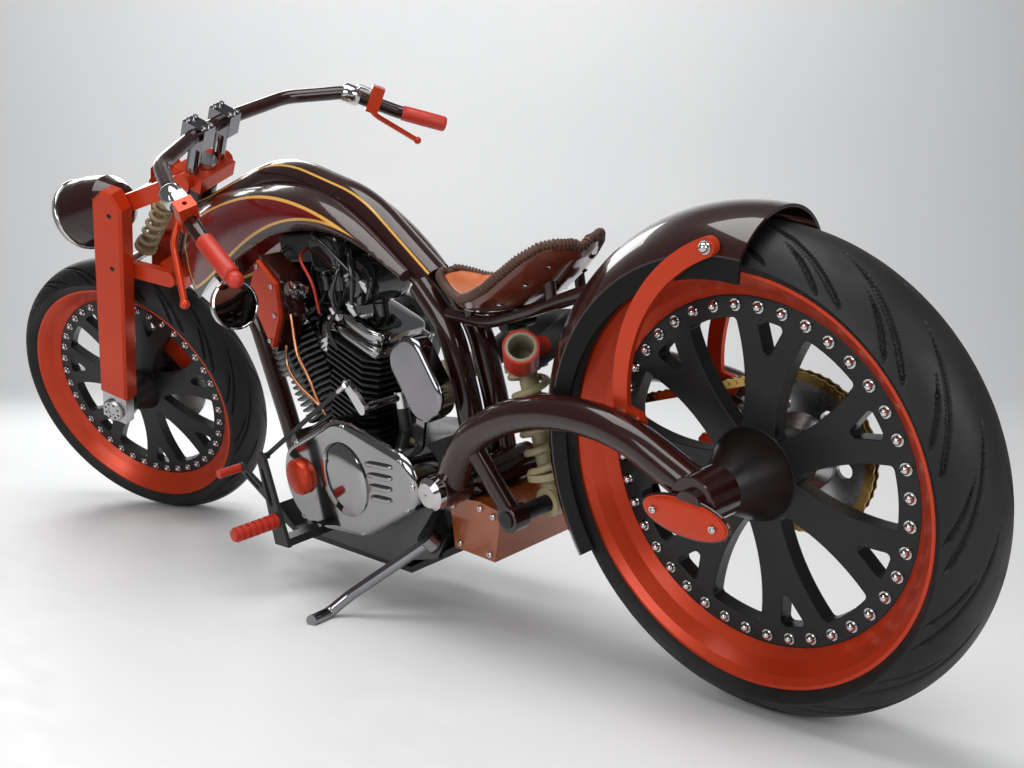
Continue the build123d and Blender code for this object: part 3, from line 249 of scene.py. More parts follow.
def lathe(profile: Profile | np.ndarray, steps: int, axis: str = "Y") -> Shell:
    """Turns a profile of (radius, offset) about an axis: point = (r cos u, offset, r sin u).

    Args:
        profile: radius and offset pairs from one end to the other, in millimetres.
        steps: how many points there are round the axis.
        axis: "Y" or "Z", the axis it turns about.

    Returns:
        A shell closed at both ends.
    """
    rows = np.array(profile, float)
    u = np.linspace(0, FULL_TURN, steps, endpoint=False)
    ring = np.stack([np.cos(u), np.zeros(steps), np.sin(u)], -1)
    points = (rows[:, None, :1] * ring[None] + rows[:, None, 1:] * LEFT).reshape(-1, 3)
    ends = np.array([[0.0, rows[0, 1], 0.0], [0.0, rows[-1, 1], 0.0]])
    last = (len(rows) - 1) * steps
    faces = [grid_faces(len(rows), steps, False, True), fan(0, steps, len(points), True),
             fan(last, steps, len(points) + 1, False)]
    points = np.vstack([points, ends])
    if axis == "Z":
        points = points[:, [0, 2, 1]] * np.array([1.0, -1.0, 1.0])
    return Shell(points, faces)


def on_circle(radius: float, angles: np.ndarray) -> np.ndarray:
    """Points (r cos u, r sin u) of a circle."""
    return radius * np.stack([np.cos(angles), np.sin(angles)], -1)


def on_side(spots: np.ndarray | tuple, y: float) -> np.ndarray:
    """Places (x, z) as they are seen from the side, put at one y."""
    return np.insert(np.asarray(spots, float), 1, y, axis=1)


def about_y(angle: float) -> np.ndarray:
    """The rotation about y that tips z towards x."""
    c, s = math.cos(angle), math.sin(angle)
    return np.array([[c, 0.0, s], [0.0, 1.0, 0.0], [-s, 0.0, c]])


def running_length(line: np.ndarray) -> np.ndarray:
    """The length of a line up to each of its points."""
    return np.concatenate([[0], np.cumsum(np.linalg.norm(np.diff(line, axis=0), axis=1))])


def evenly(line: np.ndarray, count: int) -> np.ndarray:
    """Points at even lengths along a closed line.

    Args:
        line: the line's points, the first one repeated at the end.
        count: how many points come back.

    Returns:
        The even points.
    """
    reach = running_length(line)
    s = np.arange(count) * reach[-1] / count
    return np.stack([np.interp(s, reach, line[:, k]) for k in range(line.shape[1])], -1)


def smooth_path(corners: list[Point] | tuple[Point, ...], count: int) -> np.ndarray:
    """A Catmull-Rom curve through the corners, sampled evenly in its parameter.

    Args:
        corners: the points that it goes through.
        count: how many points come back.

    Returns:
        An array of points along the curve.
    """
    c = np.array(corners, float)
    last = len(c) - 1
    padded = np.vstack([2 * c[:1] - c[1:2], c, 2 * c[-1:] - c[-2:-1]])
    t = np.linspace(0, last, count)
    k = np.minimum(t.astype(int), last - 1)
    f = (t - k)[:, None]
    p0, p1, p2, p3 = (padded[k + i] for i in range(4))
    return 0.5 * (2 * p1 + (p2 - p0) * f + (2 * p0 - 5 * p1 + 4 * p2 - p3) * f**2
                  + (3 * p1 - p0 - 3 * p2 + p3) * f**3)


def bent_path(corners: np.ndarray, ease: tuple[float, ...], count: int = 14) -> np.ndarray:
    """Straight runs joined by parabolas: a bend is (1 - t)^2 a + 2 t (1 - t) corner + t^2 b.

    Args:
        corners: the corners of the line, first and last point included.
        ease: how far from each inner corner its bend starts and ends.
        count: how many points each bend has.

    Returns:
        An array of points along the line.
    """
    way = np.diff(corners, axis=0)
    way /= np.linalg.norm(way, axis=1, keepdims=True)
    t = np.linspace(0, 1, count)[:, None]
    bends = [(1 - t)**2 * (p - e * before) + 2 * t * (1 - t) * p + t**2 * (p + e * after)
             for p, e, before, after in zip(corners[1:-1], ease, way[:-1], way[1:])]
    return np.vstack([corners[:1], *bends, corners[-1:]])


def path_frames(path: np.ndarray, ref: Point, closed: bool) -> tuple[np.ndarray, np.ndarray]:
    """Side and up vectors along a path, the side square to the path and to a reference direction.

    Args:
        path: the points along the path.
        ref: the reference direction.
        closed: whether the path runs round to its start.

    Returns:
        The side vectors and the up vectors.
    """
    if closed:
        tangent = np.roll(path, -1, 0) - np.roll(path, 1, 0)
    else:
        tangent = np.gradient(path, axis=0)
    tangent /= np.linalg.norm(tangent, axis=1, keepdims=True)
    side = np.cross(np.broadcast_to(np.array(ref, float), path.shape), tangent)
    side /= np.maximum(np.linalg.norm(side, axis=1, keepdims=True), 1e-9)
    return side, np.cross(tangent, side)


def swept(path: np.ndarray, radius: float, sides: int, ref: Point = (0, 0, 1), closed: bool = False) -> Shell:
    """A round section carried along a path: path + r (side cos v + up sin v), closed by fans.

    Args:
        path: the points along the path.
        radius: the section's radius.
        sides: how many points the section has.
        ref: the direction that the section's side is square to.
        closed: whether the path runs round to its start.

    Returns:
        The closed tube.
    """
    side, up = path_frames(path, ref, closed)
    v = np.linspace(0, FULL_TURN, sides, endpoint=False)[None, :, None]
    ring = side[:, None] * np.cos(v) + up[:, None] * np.sin(v)
    shell = grid_shell(path[:, None] + radius * ring, closed, True)
    if closed:
        return shell
    last = (len(path) - 1) * sides
    count = len(shell.points)
    shell.points = np.vstack([shell.points, path[:1], path[-1:]])
    shell.faces += [fan(0, sides, count, True), fan(last, sides, count + 1, False)]
    return shell


def cable(corners: list[Point] | tuple[Point, ...], radius: float, count: int = 40) -> Shell:
    """A thin round line through the corners."""
    return swept(smooth_path(corners, count), radius, 10)


def rounded_block(size: Point, power: float, steps: int = 18) -> Shell:
    """A block with soft edges, the superellipsoid |x/a|^n + |y/b|^n + |z/c|^n = 1 from two angles.

    Args:
        size: the block's three sides.
        power: the exponent n; higher is boxier.
        steps: points from pole to pole.

    Returns:
        A closed shell round the origin.
    """
    u = np.linspace(0, FULL_TURN, 2 * steps, endpoint=False)[None]
    v = np.linspace(-math.pi / 2, math.pi / 2, steps + 1)[1:-1, None]
    over, round_ = np.ones_like(u), np.ones_like(v)
    parts = [np.cos(v) * over, np.sin(v) * over, np.cos(u) * round_, np.sin(u) * round_]
    cv, sv, cu, su = (np.sign(p) * np.abs(p) ** (2.0 / power) for p in parts)
    shell = grid_shell(np.stack([cv * cu, cv * su, sv], -1) * 0.5 * np.array(size, float), False, True)
    cols, count = u.shape[1], len(shell.points)
    tall = 0.5 * size[2]
    shell.points = np.vstack([shell.points, [[0.0, 0.0, -tall], [0.0, 0.0, tall]]])
    shell.faces += [fan(0, cols, count, True), fan(count - cols, cols, count + 1, False)]
    return shell


def copies(template: Shell, turns: np.ndarray, shifts: np.ndarray) -> Shell:
    """One shell with a copy of the template at each turn and shift, by broadcasting.

    Args:
        template: the shell to copy.
        turns: one rotation matrix a copy.
        shifts: one place a copy.

    Returns:
        All the copies as one shell.
    """
    points = np.einsum("kij,nj->kni", turns, template.points) + shifts[:, None]
    starts = (np.arange(len(shifts)) * len(template.points))[:, None, None]
    faces = [(f[None] + starts).reshape(-1, f.shape[1]) for f in template.faces]
    return Shell(points.reshape(-1, 3), faces)


def facing(direction: np.ndarray | Point) -> np.ndarray:
    """Rotation matrices that turn +Y to each direction.

    Args:
        direction: one direction, or rows of them.

    Returns:
        One matrix a direction.
    """
    y = np.atleast_2d(np.asarray(direction, float))
    y = y / np.linalg.norm(y, axis=1, keepdims=True)
    ref = np.where(np.abs(y[:, 2:]) < 0.9, np.array([[0.0, 0.0, 1.0]]), np.array([[1.0, 0.0, 0.0]]))
    x = np.cross(y, ref)
    x /= np.linalg.norm(x, axis=1, keepdims=True)
    return np.stack([x, y, np.cross(x, y)], -1)


ACORN_NUT = [(9.0, 0.0), (9.0, 2.0), (6.6, 2.0), (6.6, 6.0), (4.6, 8.6), (1.5, 9.8)]
RIVET = [(5.5, 0.0), (5.0, 1.4), (3.0, 2.4), (0.6, 2.8)]
CAP_SCREW = [(6.5, 0.0), (6.5, 5.0), (5.6, 6.0), (3.4, 6.0), (3.2, 3.6), (0.4, 3.6)]


def bolts(spots: np.ndarray, out: np.ndarray, profile: Profile, size: float = 1.0) -> Shell:
    """A turned bolt at each spot, its head pointing out.

    Args:
        spots: the places, in millimetres.
        out: one direction for all, or one each.
        profile: the head's radius and height pairs.
        size: a scale for the head.

    Returns:
        All the bolts as one shell.
    """
    template = lathe([(r * size, h * size) for r, h in profile], 10)
    return copies(template, facing(np.broadcast_to(out, spots.shape)), spots)


class Bench:
    """Puts finished shells into the scene, dressed and riding on their bodies."""

    MERGE = 1e-6

    def __init__(self, stance: Stance, paint: Paintbox) -> None:
        """Keeps the stance that places every piece, and the finishes."""
        self.stance = stance
        self.paint = paint

    def mesh(self, name: str, shell: Shell, smooth_angle: float) -> bpy.types.Object:
        """Makes an object at the origin from a shell in metres, with doubles merged.

        Args:
            name: the object's name.
            shell: its points and faces.
            smooth_angle: the angle in radians above which an edge stays sharp.

        Returns:
            The new object.
        """
        mesh = bpy.data.meshes.new(name)
        mesh.from_pydata(shell.points, [], [row for f in shell.faces for row in f.tolist()])
        work = bmesh.new()
        work.from_mesh(mesh)
        bmesh.ops.remove_doubles(work, verts=work.verts, dist=self.MERGE)
        bmesh.ops.recalc_face_normals(work, faces=work.faces)
        work.to_mesh(mesh)
        work.free()
        mesh.shade_smooth()
        if smooth_angle < math.pi:
            mesh.set_sharp_from_angle(angle=smooth_angle)
        obj = bpy.data.objects.new(name, mesh)
        bpy.context.scene.collection.objects.link(obj)
        return obj

    def piece(self, name: str, shell: Shell, finish: str, slot: str = "", body: str = "chassis",
              frame: Frame = Frame.CHASSIS, replaces: tuple[str, ...] = (),
              crease: float = 40.0) -> bpy.types.Object:
        """Places a shell drawn upright in millimetres, dresses it and lets it ride.

        Args:
            name: the piece's name.
            shell: its points and faces in the upright drawing.
            finish: the name of its finish.
            slot: the record's slot for its finish, where that has another name; not used.
            body: the CAD body it moves with.
            frame: whether it turns with the front end.
            replaces: CAD nodes that it stands for.
            crease: the angle in degrees above which an edge stays sharp.

        Returns:
            The new object.
        """
        slot = slot or finish
        placed = Shell(self.stance.place(shell.points, frame), shell.faces)
        obj = self.mesh(name, placed, math.radians(crease))
        obj.data.materials.append(self.paint[finish])
        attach(obj, body)
        if replaces:
            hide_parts(*replaces)
        LOG.info("%s: %d faces", name, len(obj.data.polygons))
        return obj

    def front_piece(self, name: str, shell: Shell, finish: str, slot: str = "",
                    replaces: tuple[str, ...] = ()) -> bpy.types.Object:
        """A piece that turns with the front end."""
        return self.piece(name, shell, finish, slot, "steering", Frame.STEERING, replaces)


# Finishes


class Graph:
    """Short calls for building a node tree."""

    def __init__(self, tree: bpy.types.NodeTree) -> None:
        """Keeps the tree."""
        self.tree = tree

    def add(self, kind: str, **settings: object) -> bpy.types.Node:
        """A new node.

        Args:
            kind: the node's type.
            **settings: its properties.

        Returns:
            The node.
        """
        node = self.tree.nodes.new(kind)
        for key, value in settings.items():
            setattr(node, key, value)
        return node

    def feed(self, socket: bpy.types.NodeSocket, value: object) -> None:
        """Links a socket, or sets a plain value.

        Args:
            socket: the input socket.
            value: an output socket or a plain value.
        """
        if isinstance(value, bpy.types.NodeSocket):
            self.tree.links.new(value, socket)
        else:
            socket.default_value = value

    def place(self) -> bpy.types.NodeSocket:
        """Object coordinates."""
        return self.add("ShaderNodeTexCoord").outputs["Object"]

    def math(self, operation: str, *values: object) -> bpy.types.NodeSocket:
        """A math node's result.

        Args:
            operation: the node's operation.
            *values: its inputs in order.

        Returns:
            The result's socket.
        """
        node = self.add("ShaderNodeMath", operation=operation)
        for socket, value in zip(node.inputs, values):
            self.feed(socket, value)
        return node.outputs[0]

    def chain(self, operation: str, first: object, *others: object) -> object:
        """Several values joined by one operation, from the left.

        Args:
            operation: the operation of two values.
            first: the value to start with.
            *others: the values to join to it.

        Returns:
            The result's socket.
        """
        for value in others:
            first = self.math(operation, first, value)
        return first

    def inverse(self, value: object) -> bpy.types.NodeSocket:
        """One minus a value."""
        return self.math("SUBTRACT", 1.0, value)

    def between(self, share: object, start: float, end: float) -> bpy.types.NodeSocket:
        """A value that runs from start to end as the share runs from 0 to 1."""
        return self.math("MULTIPLY_ADD", share, end - start, start)

    def length(self, *parts: object) -> bpy.types.NodeSocket:
        """The square root of the sum of squares."""
        return self.math("SQRT", self.chain("ADD", *[self.math("MULTIPLY", p, p) for p in parts]))

    def poly(self, x: object, coeffs: np.ndarray) -> object:
        """A polynomial by nested multiply-adds.

        Args:
            x: the variable.
            coeffs: its factors, highest power first.

        Returns:
            The result's socket.
        """
        total: object = float(coeffs[0])
        for c in coeffs[1:]:
            total = self.math("MULTIPLY_ADD", total, x, float(c))
        return total

    def step(self, value: object, low: float, high: float) -> bpy.types.NodeSocket:
        """0 below low and 1 above high, smooth between.

        Args:
            value: the value to compare.
            low: where the step starts.
            high: where it ends.

        Returns:
            The result's socket.
        """
        node = self.add("ShaderNodeMapRange", interpolation_type="SMOOTHSTEP")
        for socket, v in zip(node.inputs, (value, low, high, 0.0, 1.0)):
            self.feed(socket, v)
        return node.outputs[0]

    def blend(self, factor: object, a: object, b: object) -> bpy.types.NodeSocket:
        """A mix of two colours.

        Args:
            factor: the share of the second colour.
            a: the first colour.
            b: the second colour.

        Returns:
            The mixed colour's socket.
        """
        node = self.add("ShaderNodeMix", data_type="RGBA")
        for index, value in ((0, factor), (6, a), (7, b)):
            self.feed(node.inputs[index], value)
        return node.outputs[2]

    def noise(self, vector: object, scale: object, detail: float) -> bpy.types.NodeSocket:
        """Noise from 0 to 1.

        Args:
            vector: where it is sampled.
            scale: its scale.
            detail: how many finer layers it has.

        Returns:
            The noise's socket.
        """
        node = self.add("ShaderNodeTexNoise")
        for label, value in (("Vector", vector), ("Scale", scale), ("Detail", detail)):
            self.feed(node.inputs[label], value)
        return node.outputs[0]

    def bump(self, height: object, strength: float, distance: float) -> bpy.types.NodeSocket:
        """A bumped normal.

        Args:
            height: the height of the relief, 0 to 1.
            strength: how much of it counts.
            distance: its full height in metres.

        Returns:
            The normal's socket.
        """
        node = self.add("ShaderNodeBump")
        for label, value in (("Strength", strength), ("Distance", distance), ("Height", height)):
            self.feed(node.inputs[label], value)
        return node.outputs[0]


class Groups:
    """The shader groups that several finishes share."""

    SMEAR_STRETCH = (9.0, 24.0, 15.0)
    SMEAR_EDGES = (0.35, 0.75)

    def __init__(self, stance: Stance) -> None:
        """Builds the groups once."""
        self.tone = self._tone()
        self.machine = self._machine(stance)

    @staticmethod
    def _new(name: str, inputs: list[tuple[str, str]], outputs: str) -> tuple:
        """An empty group.

        Args:
            name: the group's name.
            inputs: names and kinds of its inputs.
            outputs: names of its number outputs, with spaces between.

        Returns:
            The tree, its graph, and its input and output nodes.
        """
        tree = bpy.data.node_groups.new(name, "ShaderNodeTree")
        for label, kind in inputs:
            tree.interface.new_socket(label, in_out="INPUT", socket_type=kind)
        for label in outputs.split():
            tree.interface.new_socket(label, in_out="OUTPUT", socket_type="NodeSocketFloat")
        graph = Graph(tree)
        return tree, graph, graph.add("NodeGroupInput"), graph.add("NodeGroupOutput")

    def _tone(self) -> bpy.types.NodeTree:
        """Slow tone, fine grain and smears over a surface, from three noises of its coordinates.

        Returns:
            The group.
        """
        inputs = [("Vector", "NodeSocketVector"), ("Tone Scale", "NodeSocketFloat"),
                  ("Grain Scale", "NodeSocketFloat")]
        tree, graph, given, out = self._new("tone_and_grain", inputs, "Tone Grain Smear")
        place = given.outputs["Vector"]
        for label, detail in (("Tone", 3.0), ("Grain", 6.0)):
            graph.feed(out.inputs[label], graph.noise(place, given.outputs[f"{label} Scale"], detail))
        stretch = graph.add("ShaderNodeMapping")
        stretch.inputs["Scale"].default_value = self.SMEAR_STRETCH
        graph.feed(stretch.inputs["Vector"], place)
        smear = graph.noise(stretch.outputs[0], 1.0, 5.0)
        graph.feed(out.inputs["Smear"], graph.step(smear, *self.SMEAR_EDGES))
        return tree

    def _machine(self, stance: Stance) -> bpy.types.NodeTree:
        """Object coordinates turned back to the upright drawing, in metres, by three dot products.

        Args:
            stance: how the drawing stands in the row frame.

        Returns:
            The group.
        """
        tree, graph, given, out = self._new("upright_place", [("Vector", "NodeSocketVector")], "X Y Z")
        shifted = graph.add("ShaderNodeVectorMath", operation="SUBTRACT")
        graph.feed(shifted.inputs[0], given.outputs[0])
        shifted.inputs[1].default_value = tuple(stance.shift)
        for index, label in enumerate("XYZ"):
            dot = graph.add("ShaderNodeVectorMath", operation="DOT_PRODUCT")
            graph.feed(dot.inputs[0], shifted.outputs[0])
            dot.inputs[1].default_value = tuple(stance.turn[:, index])
            graph.feed(out.inputs[label], dot.outputs["Value"])
        return tree


@dataclass(frozen=True)
class Canvas:
    """A material in the making: its graph, its shader and the tone node."""

    material: bpy.types.Material
    graph: Graph
    shader: bpy.types.Node
    tone: bpy.types.Node
    groups: Groups

    def set(self, socket: str, value: object) -> None:
        """Feeds one of the shader's inputs."""
        self.graph.feed(self.shader.inputs[socket], value)

    def two_tone(self, base: Colour, second: Colour) -> bpy.types.NodeSocket:
        """A mix of two colours by the slow tone."""
        return self.graph.blend(self.tone.outputs["Tone"], (*base, 1.0), (*second, 1.0))

    def upright(self) -> list[bpy.types.NodeSocket]:
        """The surface point in the upright drawing.

        Returns:
            Its x, y and z in metres.
        """
        node = self.graph.add("ShaderNodeGroup", node_tree=self.groups.machine)
        self.graph.feed(node.inputs[0], self.graph.place())
        return [node.outputs[label] for label in "XYZ"]


@dataclass(frozen=True)
class Finish:
    """One surface: two tones, its gloss and its grain."""

    name: str
    base: Colour
    second: Colour
    rough: tuple[float, float] = (0.3, 0.4)
    metallic: float = 0.0
    coat: float = 0.0
    coat_rough: float = 0.03
    tone_scale: float = 12.0
    grain_scale: float = 900.0
    grain_height: float = 0.0
    specular: float = 0.5

    GRAIN_STRENGTH = 0.6

    @property
    def tones(self) -> tuple[Colour, Colour]:
        """Both colours."""
        return self.base, self.second

    def start(self, groups: Groups, name: str) -> Canvas:
        """A material with its shader set and the tone group on Object coordinates.

        Args:
            groups: the shared node groups.
            name: the material's name.

        Returns:
            The material, ready to use or to paint over.
        """
        material = bpy.data.materials.new(name)
        material.use_nodes = True
        graph = Graph(material.node_tree)
        tone = graph.add("ShaderNodeGroup", node_tree=groups.tone)
        for socket, value in (("Vector", graph.place()), ("Tone Scale", self.tone_scale),
                              ("Grain Scale", self.grain_scale)):
            graph.feed(tone.inputs[socket], value)
        canvas = Canvas(material, graph, material.node_tree.nodes["Principled BSDF"], tone, groups)
        for socket, value in (("Metallic", self.metallic), ("Coat Weight", self.coat),
                              ("Coat Roughness", self.coat_rough), ("Specular IOR Level", self.specular),
                              ("Base Color", canvas.two_tone(*self.tones)),
                              ("Roughness", graph.between(tone.outputs["Smear"], *self.rough))):
            canvas.set(socket, value)
        if self.grain_height:
            canvas.set("Normal", graph.bump(tone.outputs["Grain"], self.GRAIN_STRENGTH, self.grain_height))
        return canvas


FINISHES = {
    f.name: f for f in (
        Finish("red_paint", (0.6, 0.05, 0.009), (0.47, 0.032, 0.006), (0.3, 0.4), 0.4, 0.15, 0.15, 7.0,
               specular=0.35),
        Finish("brown_paint", (0.016, 0.0036, 0.0026), (0.026, 0.0056, 0.004), (0.25, 0.32), 0.0, 0.8, 0.015,
               5.0, specular=0.15),
        Finish("burgundy_paint", (0.14, 0.006, 0.006), (0.09, 0.0045, 0.0045), (0.25, 0.32), 0.0, 0.7, 0.015,
               5.0, specular=0.15),
        Finish("black_satin", (0.005, 0.005, 0.005), (0.009, 0.009, 0.0095), (0.32, 0.45), 0.0, 0.0, 0.1,
               14.0, 700.0, 2e-5, specular=0.35),
        Finish("chrome", (0.64, 0.63, 0.62), (0.5, 0.49, 0.48), (0.04, 0.11), 1.0, tone_scale=9.0),
        Finish("cover_chrome", (0.44, 0.435, 0.43), (0.3, 0.295, 0.29), (0.05, 0.13), 1.0, tone_scale=9.0),
        Finish("dark_chrome", (0.32, 0.31, 0.32), (0.22, 0.21, 0.225), (0.07, 0.16), 1.0, tone_scale=14.0),
        Finish("bare_steel", (0.56, 0.55, 0.54), (0.42, 0.42, 0.42), (0.22, 0.36), 1.0, grain_height=1e-5),
        Finish("case_metal", (0.07, 0.07, 0.072), (0.12, 0.12, 0.12), (0.22, 0.4), 0.8, grain_height=3e-5),
        Finish("copper_paint", (0.42, 0.105, 0.024), (0.2, 0.045, 0.016), (0.25, 0.36), 0.3, 0.6, 0.08, 6.0),
        Finish("cream_spring", (0.42, 0.35, 0.2), (0.34, 0.28, 0.16), (0.35, 0.5)),
        Finish("gold_chain", (0.62, 0.4, 0.13), (0.4, 0.25, 0.08), (0.22, 0.4), 1.0),
        Finish("red_rubber", (0.5, 0.03, 0.012), (0.4, 0.022, 0.01), (0.4, 0.52), grain_height=2e-5),
        Finish("dark_oil_steel", (0.06, 0.055, 0.05), (0.11, 0.1, 0.09), (0.25, 0.45), 1.0),
        Finish("copper_line", (0.72, 0.33, 0.16), (0.5, 0.2, 0.09), (0.16, 0.28), 1.0),
        Finish("lace_leather", (0.05, 0.02, 0.012), (0.1, 0.045, 0.025), (0.45, 0.6), grain_height=5e-5),
        Finish("edge_leather", (0.11, 0.04, 0.02), (0.07, 0.026, 0.014), (0.4, 0.55), grain_height=6e-5),
        Finish("pan_leather", (0.14, 0.028, 0.012), (0.07, 0.014, 0.008), (0.18, 0.3), coat=0.5,
               grain_height=4e-5),
        Finish("black_gloss", (0.006, 0.006, 0.006), (0.012, 0.012, 0.012), (0.1, 0.2), coat=0.6),
        Finish("mirror_glass", (0.1, 0.1, 0.11), (0.13, 0.13, 0.14), (0.02, 0.05), 1.0),
        Finish("tyre_rubber", (0.006, 0.006, 0.006), (0.014, 0.0135, 0.013), (0.48, 0.7), 0.0, 0.0, 0.1, 10.0,
               1400.0, 6e-5, specular=0.3),
        Finish("lamp_glass", (0.9, 0.92, 0.94), (0.84, 0.87, 0.9), (0.02, 0.05), grain_scale=60.0,
               grain_height=2e-4),
        Finish("leather_tan", (0.58, 0.15, 0.03), (0.4, 0.085, 0.018), (0.32, 0.5), coat=0.15,
               coat_rough=0.25, tone_scale=16.0),
        Finish("wrapped_pipe", (0.06, 0.058, 0.055), (0.1, 0.097, 0.09), (0.7, 0.85)),
    )
}
GOLD = (0.62, 0.33, 0.07, 1.0)
STRIP_BLACK = (0.006, 0.006, 0.006, 1.0)
LEVER_STEEL = (0.6, 0.59, 0.58, 1.0)


class TankPanel:
    """The tank's painted panel in side view: its lines' places (x, z) in millimetres."""

    LOWER_LINE = ((1476, 640), (1390, 652), (1215, 735), (1090, 762), (966, 772), (803, 735), (716, 655))
    UPPER_LINE = ((1480, 770), (1312, 812), (1200, 826), (1095, 826), (980, 806), (882, 770), (803, 722),
                  (716, 650))
    FRONT_LINE = 1466.0
    LINE_HALF = 3.2
    LINE_CORE = 0.6
    BROWN = ((0.02, 0.008, 0.0065), (0.034, 0.013, 0.0105))


class Muffler:
    """The rear pipe's wrap, its mouth and its painted ring, in millimetres."""

    MOUTH = np.array([378.0, 88.0, 552.0])
    WAY = np.array([-47.0, 38.0, 40.0]) / math.sqrt(47.0**2 + 38.0**2 + 40.0**2)
    NEAR = 75.0
    RING_LONG = 55.0
    BORE_R = 26.0
    BAND = 11.0
    BAND_SEAM = 3.0
    DARK = ((0.035, 0.034, 0.033), (0.075, 0.072, 0.068))
    PALE = ((0.42, 0.36, 0.25), (0.3, 0.25, 0.17))
    RED = ((0.5, 0.03, 0.014), (0.4, 0.022, 0.01))
    BORE = ((0.36, 0.31, 0.22), (0.2, 0.17, 0.12))


class Masks:
    """Where one paint meets the next on a node, in metres of the upright drawing."""

    SPINE_LINE_Y = 0.023
    SPINE_LINE_HALF = (0.0013, 0.002)
    SPINE_LINE_Z = (0.60, 0.62)
    CREAM_WRAP_X = (0.66, 0.7)
    FENDER_STRIP_R = (0.3285, 0.3305)
    PEG_Y = 0.2143
    LEVER_X = 0.81
    LEVER_Z = 0.415
    CALIPER_Y = -0.1285
    CALIPER_X = 0.085
    CALIPER_Z = 0.388
    FOOT_BLACK = ((0.012, 0.012, 0.012), (0.022, 0.022, 0.022))
    ARM_BROWN = ((0.02, 0.0055, 0.0045), (0.032, 0.008, 0.0055))
    CALIPER_RED = ((0.56, 0.052, 0.014), (0.44, 0.034, 0.01))


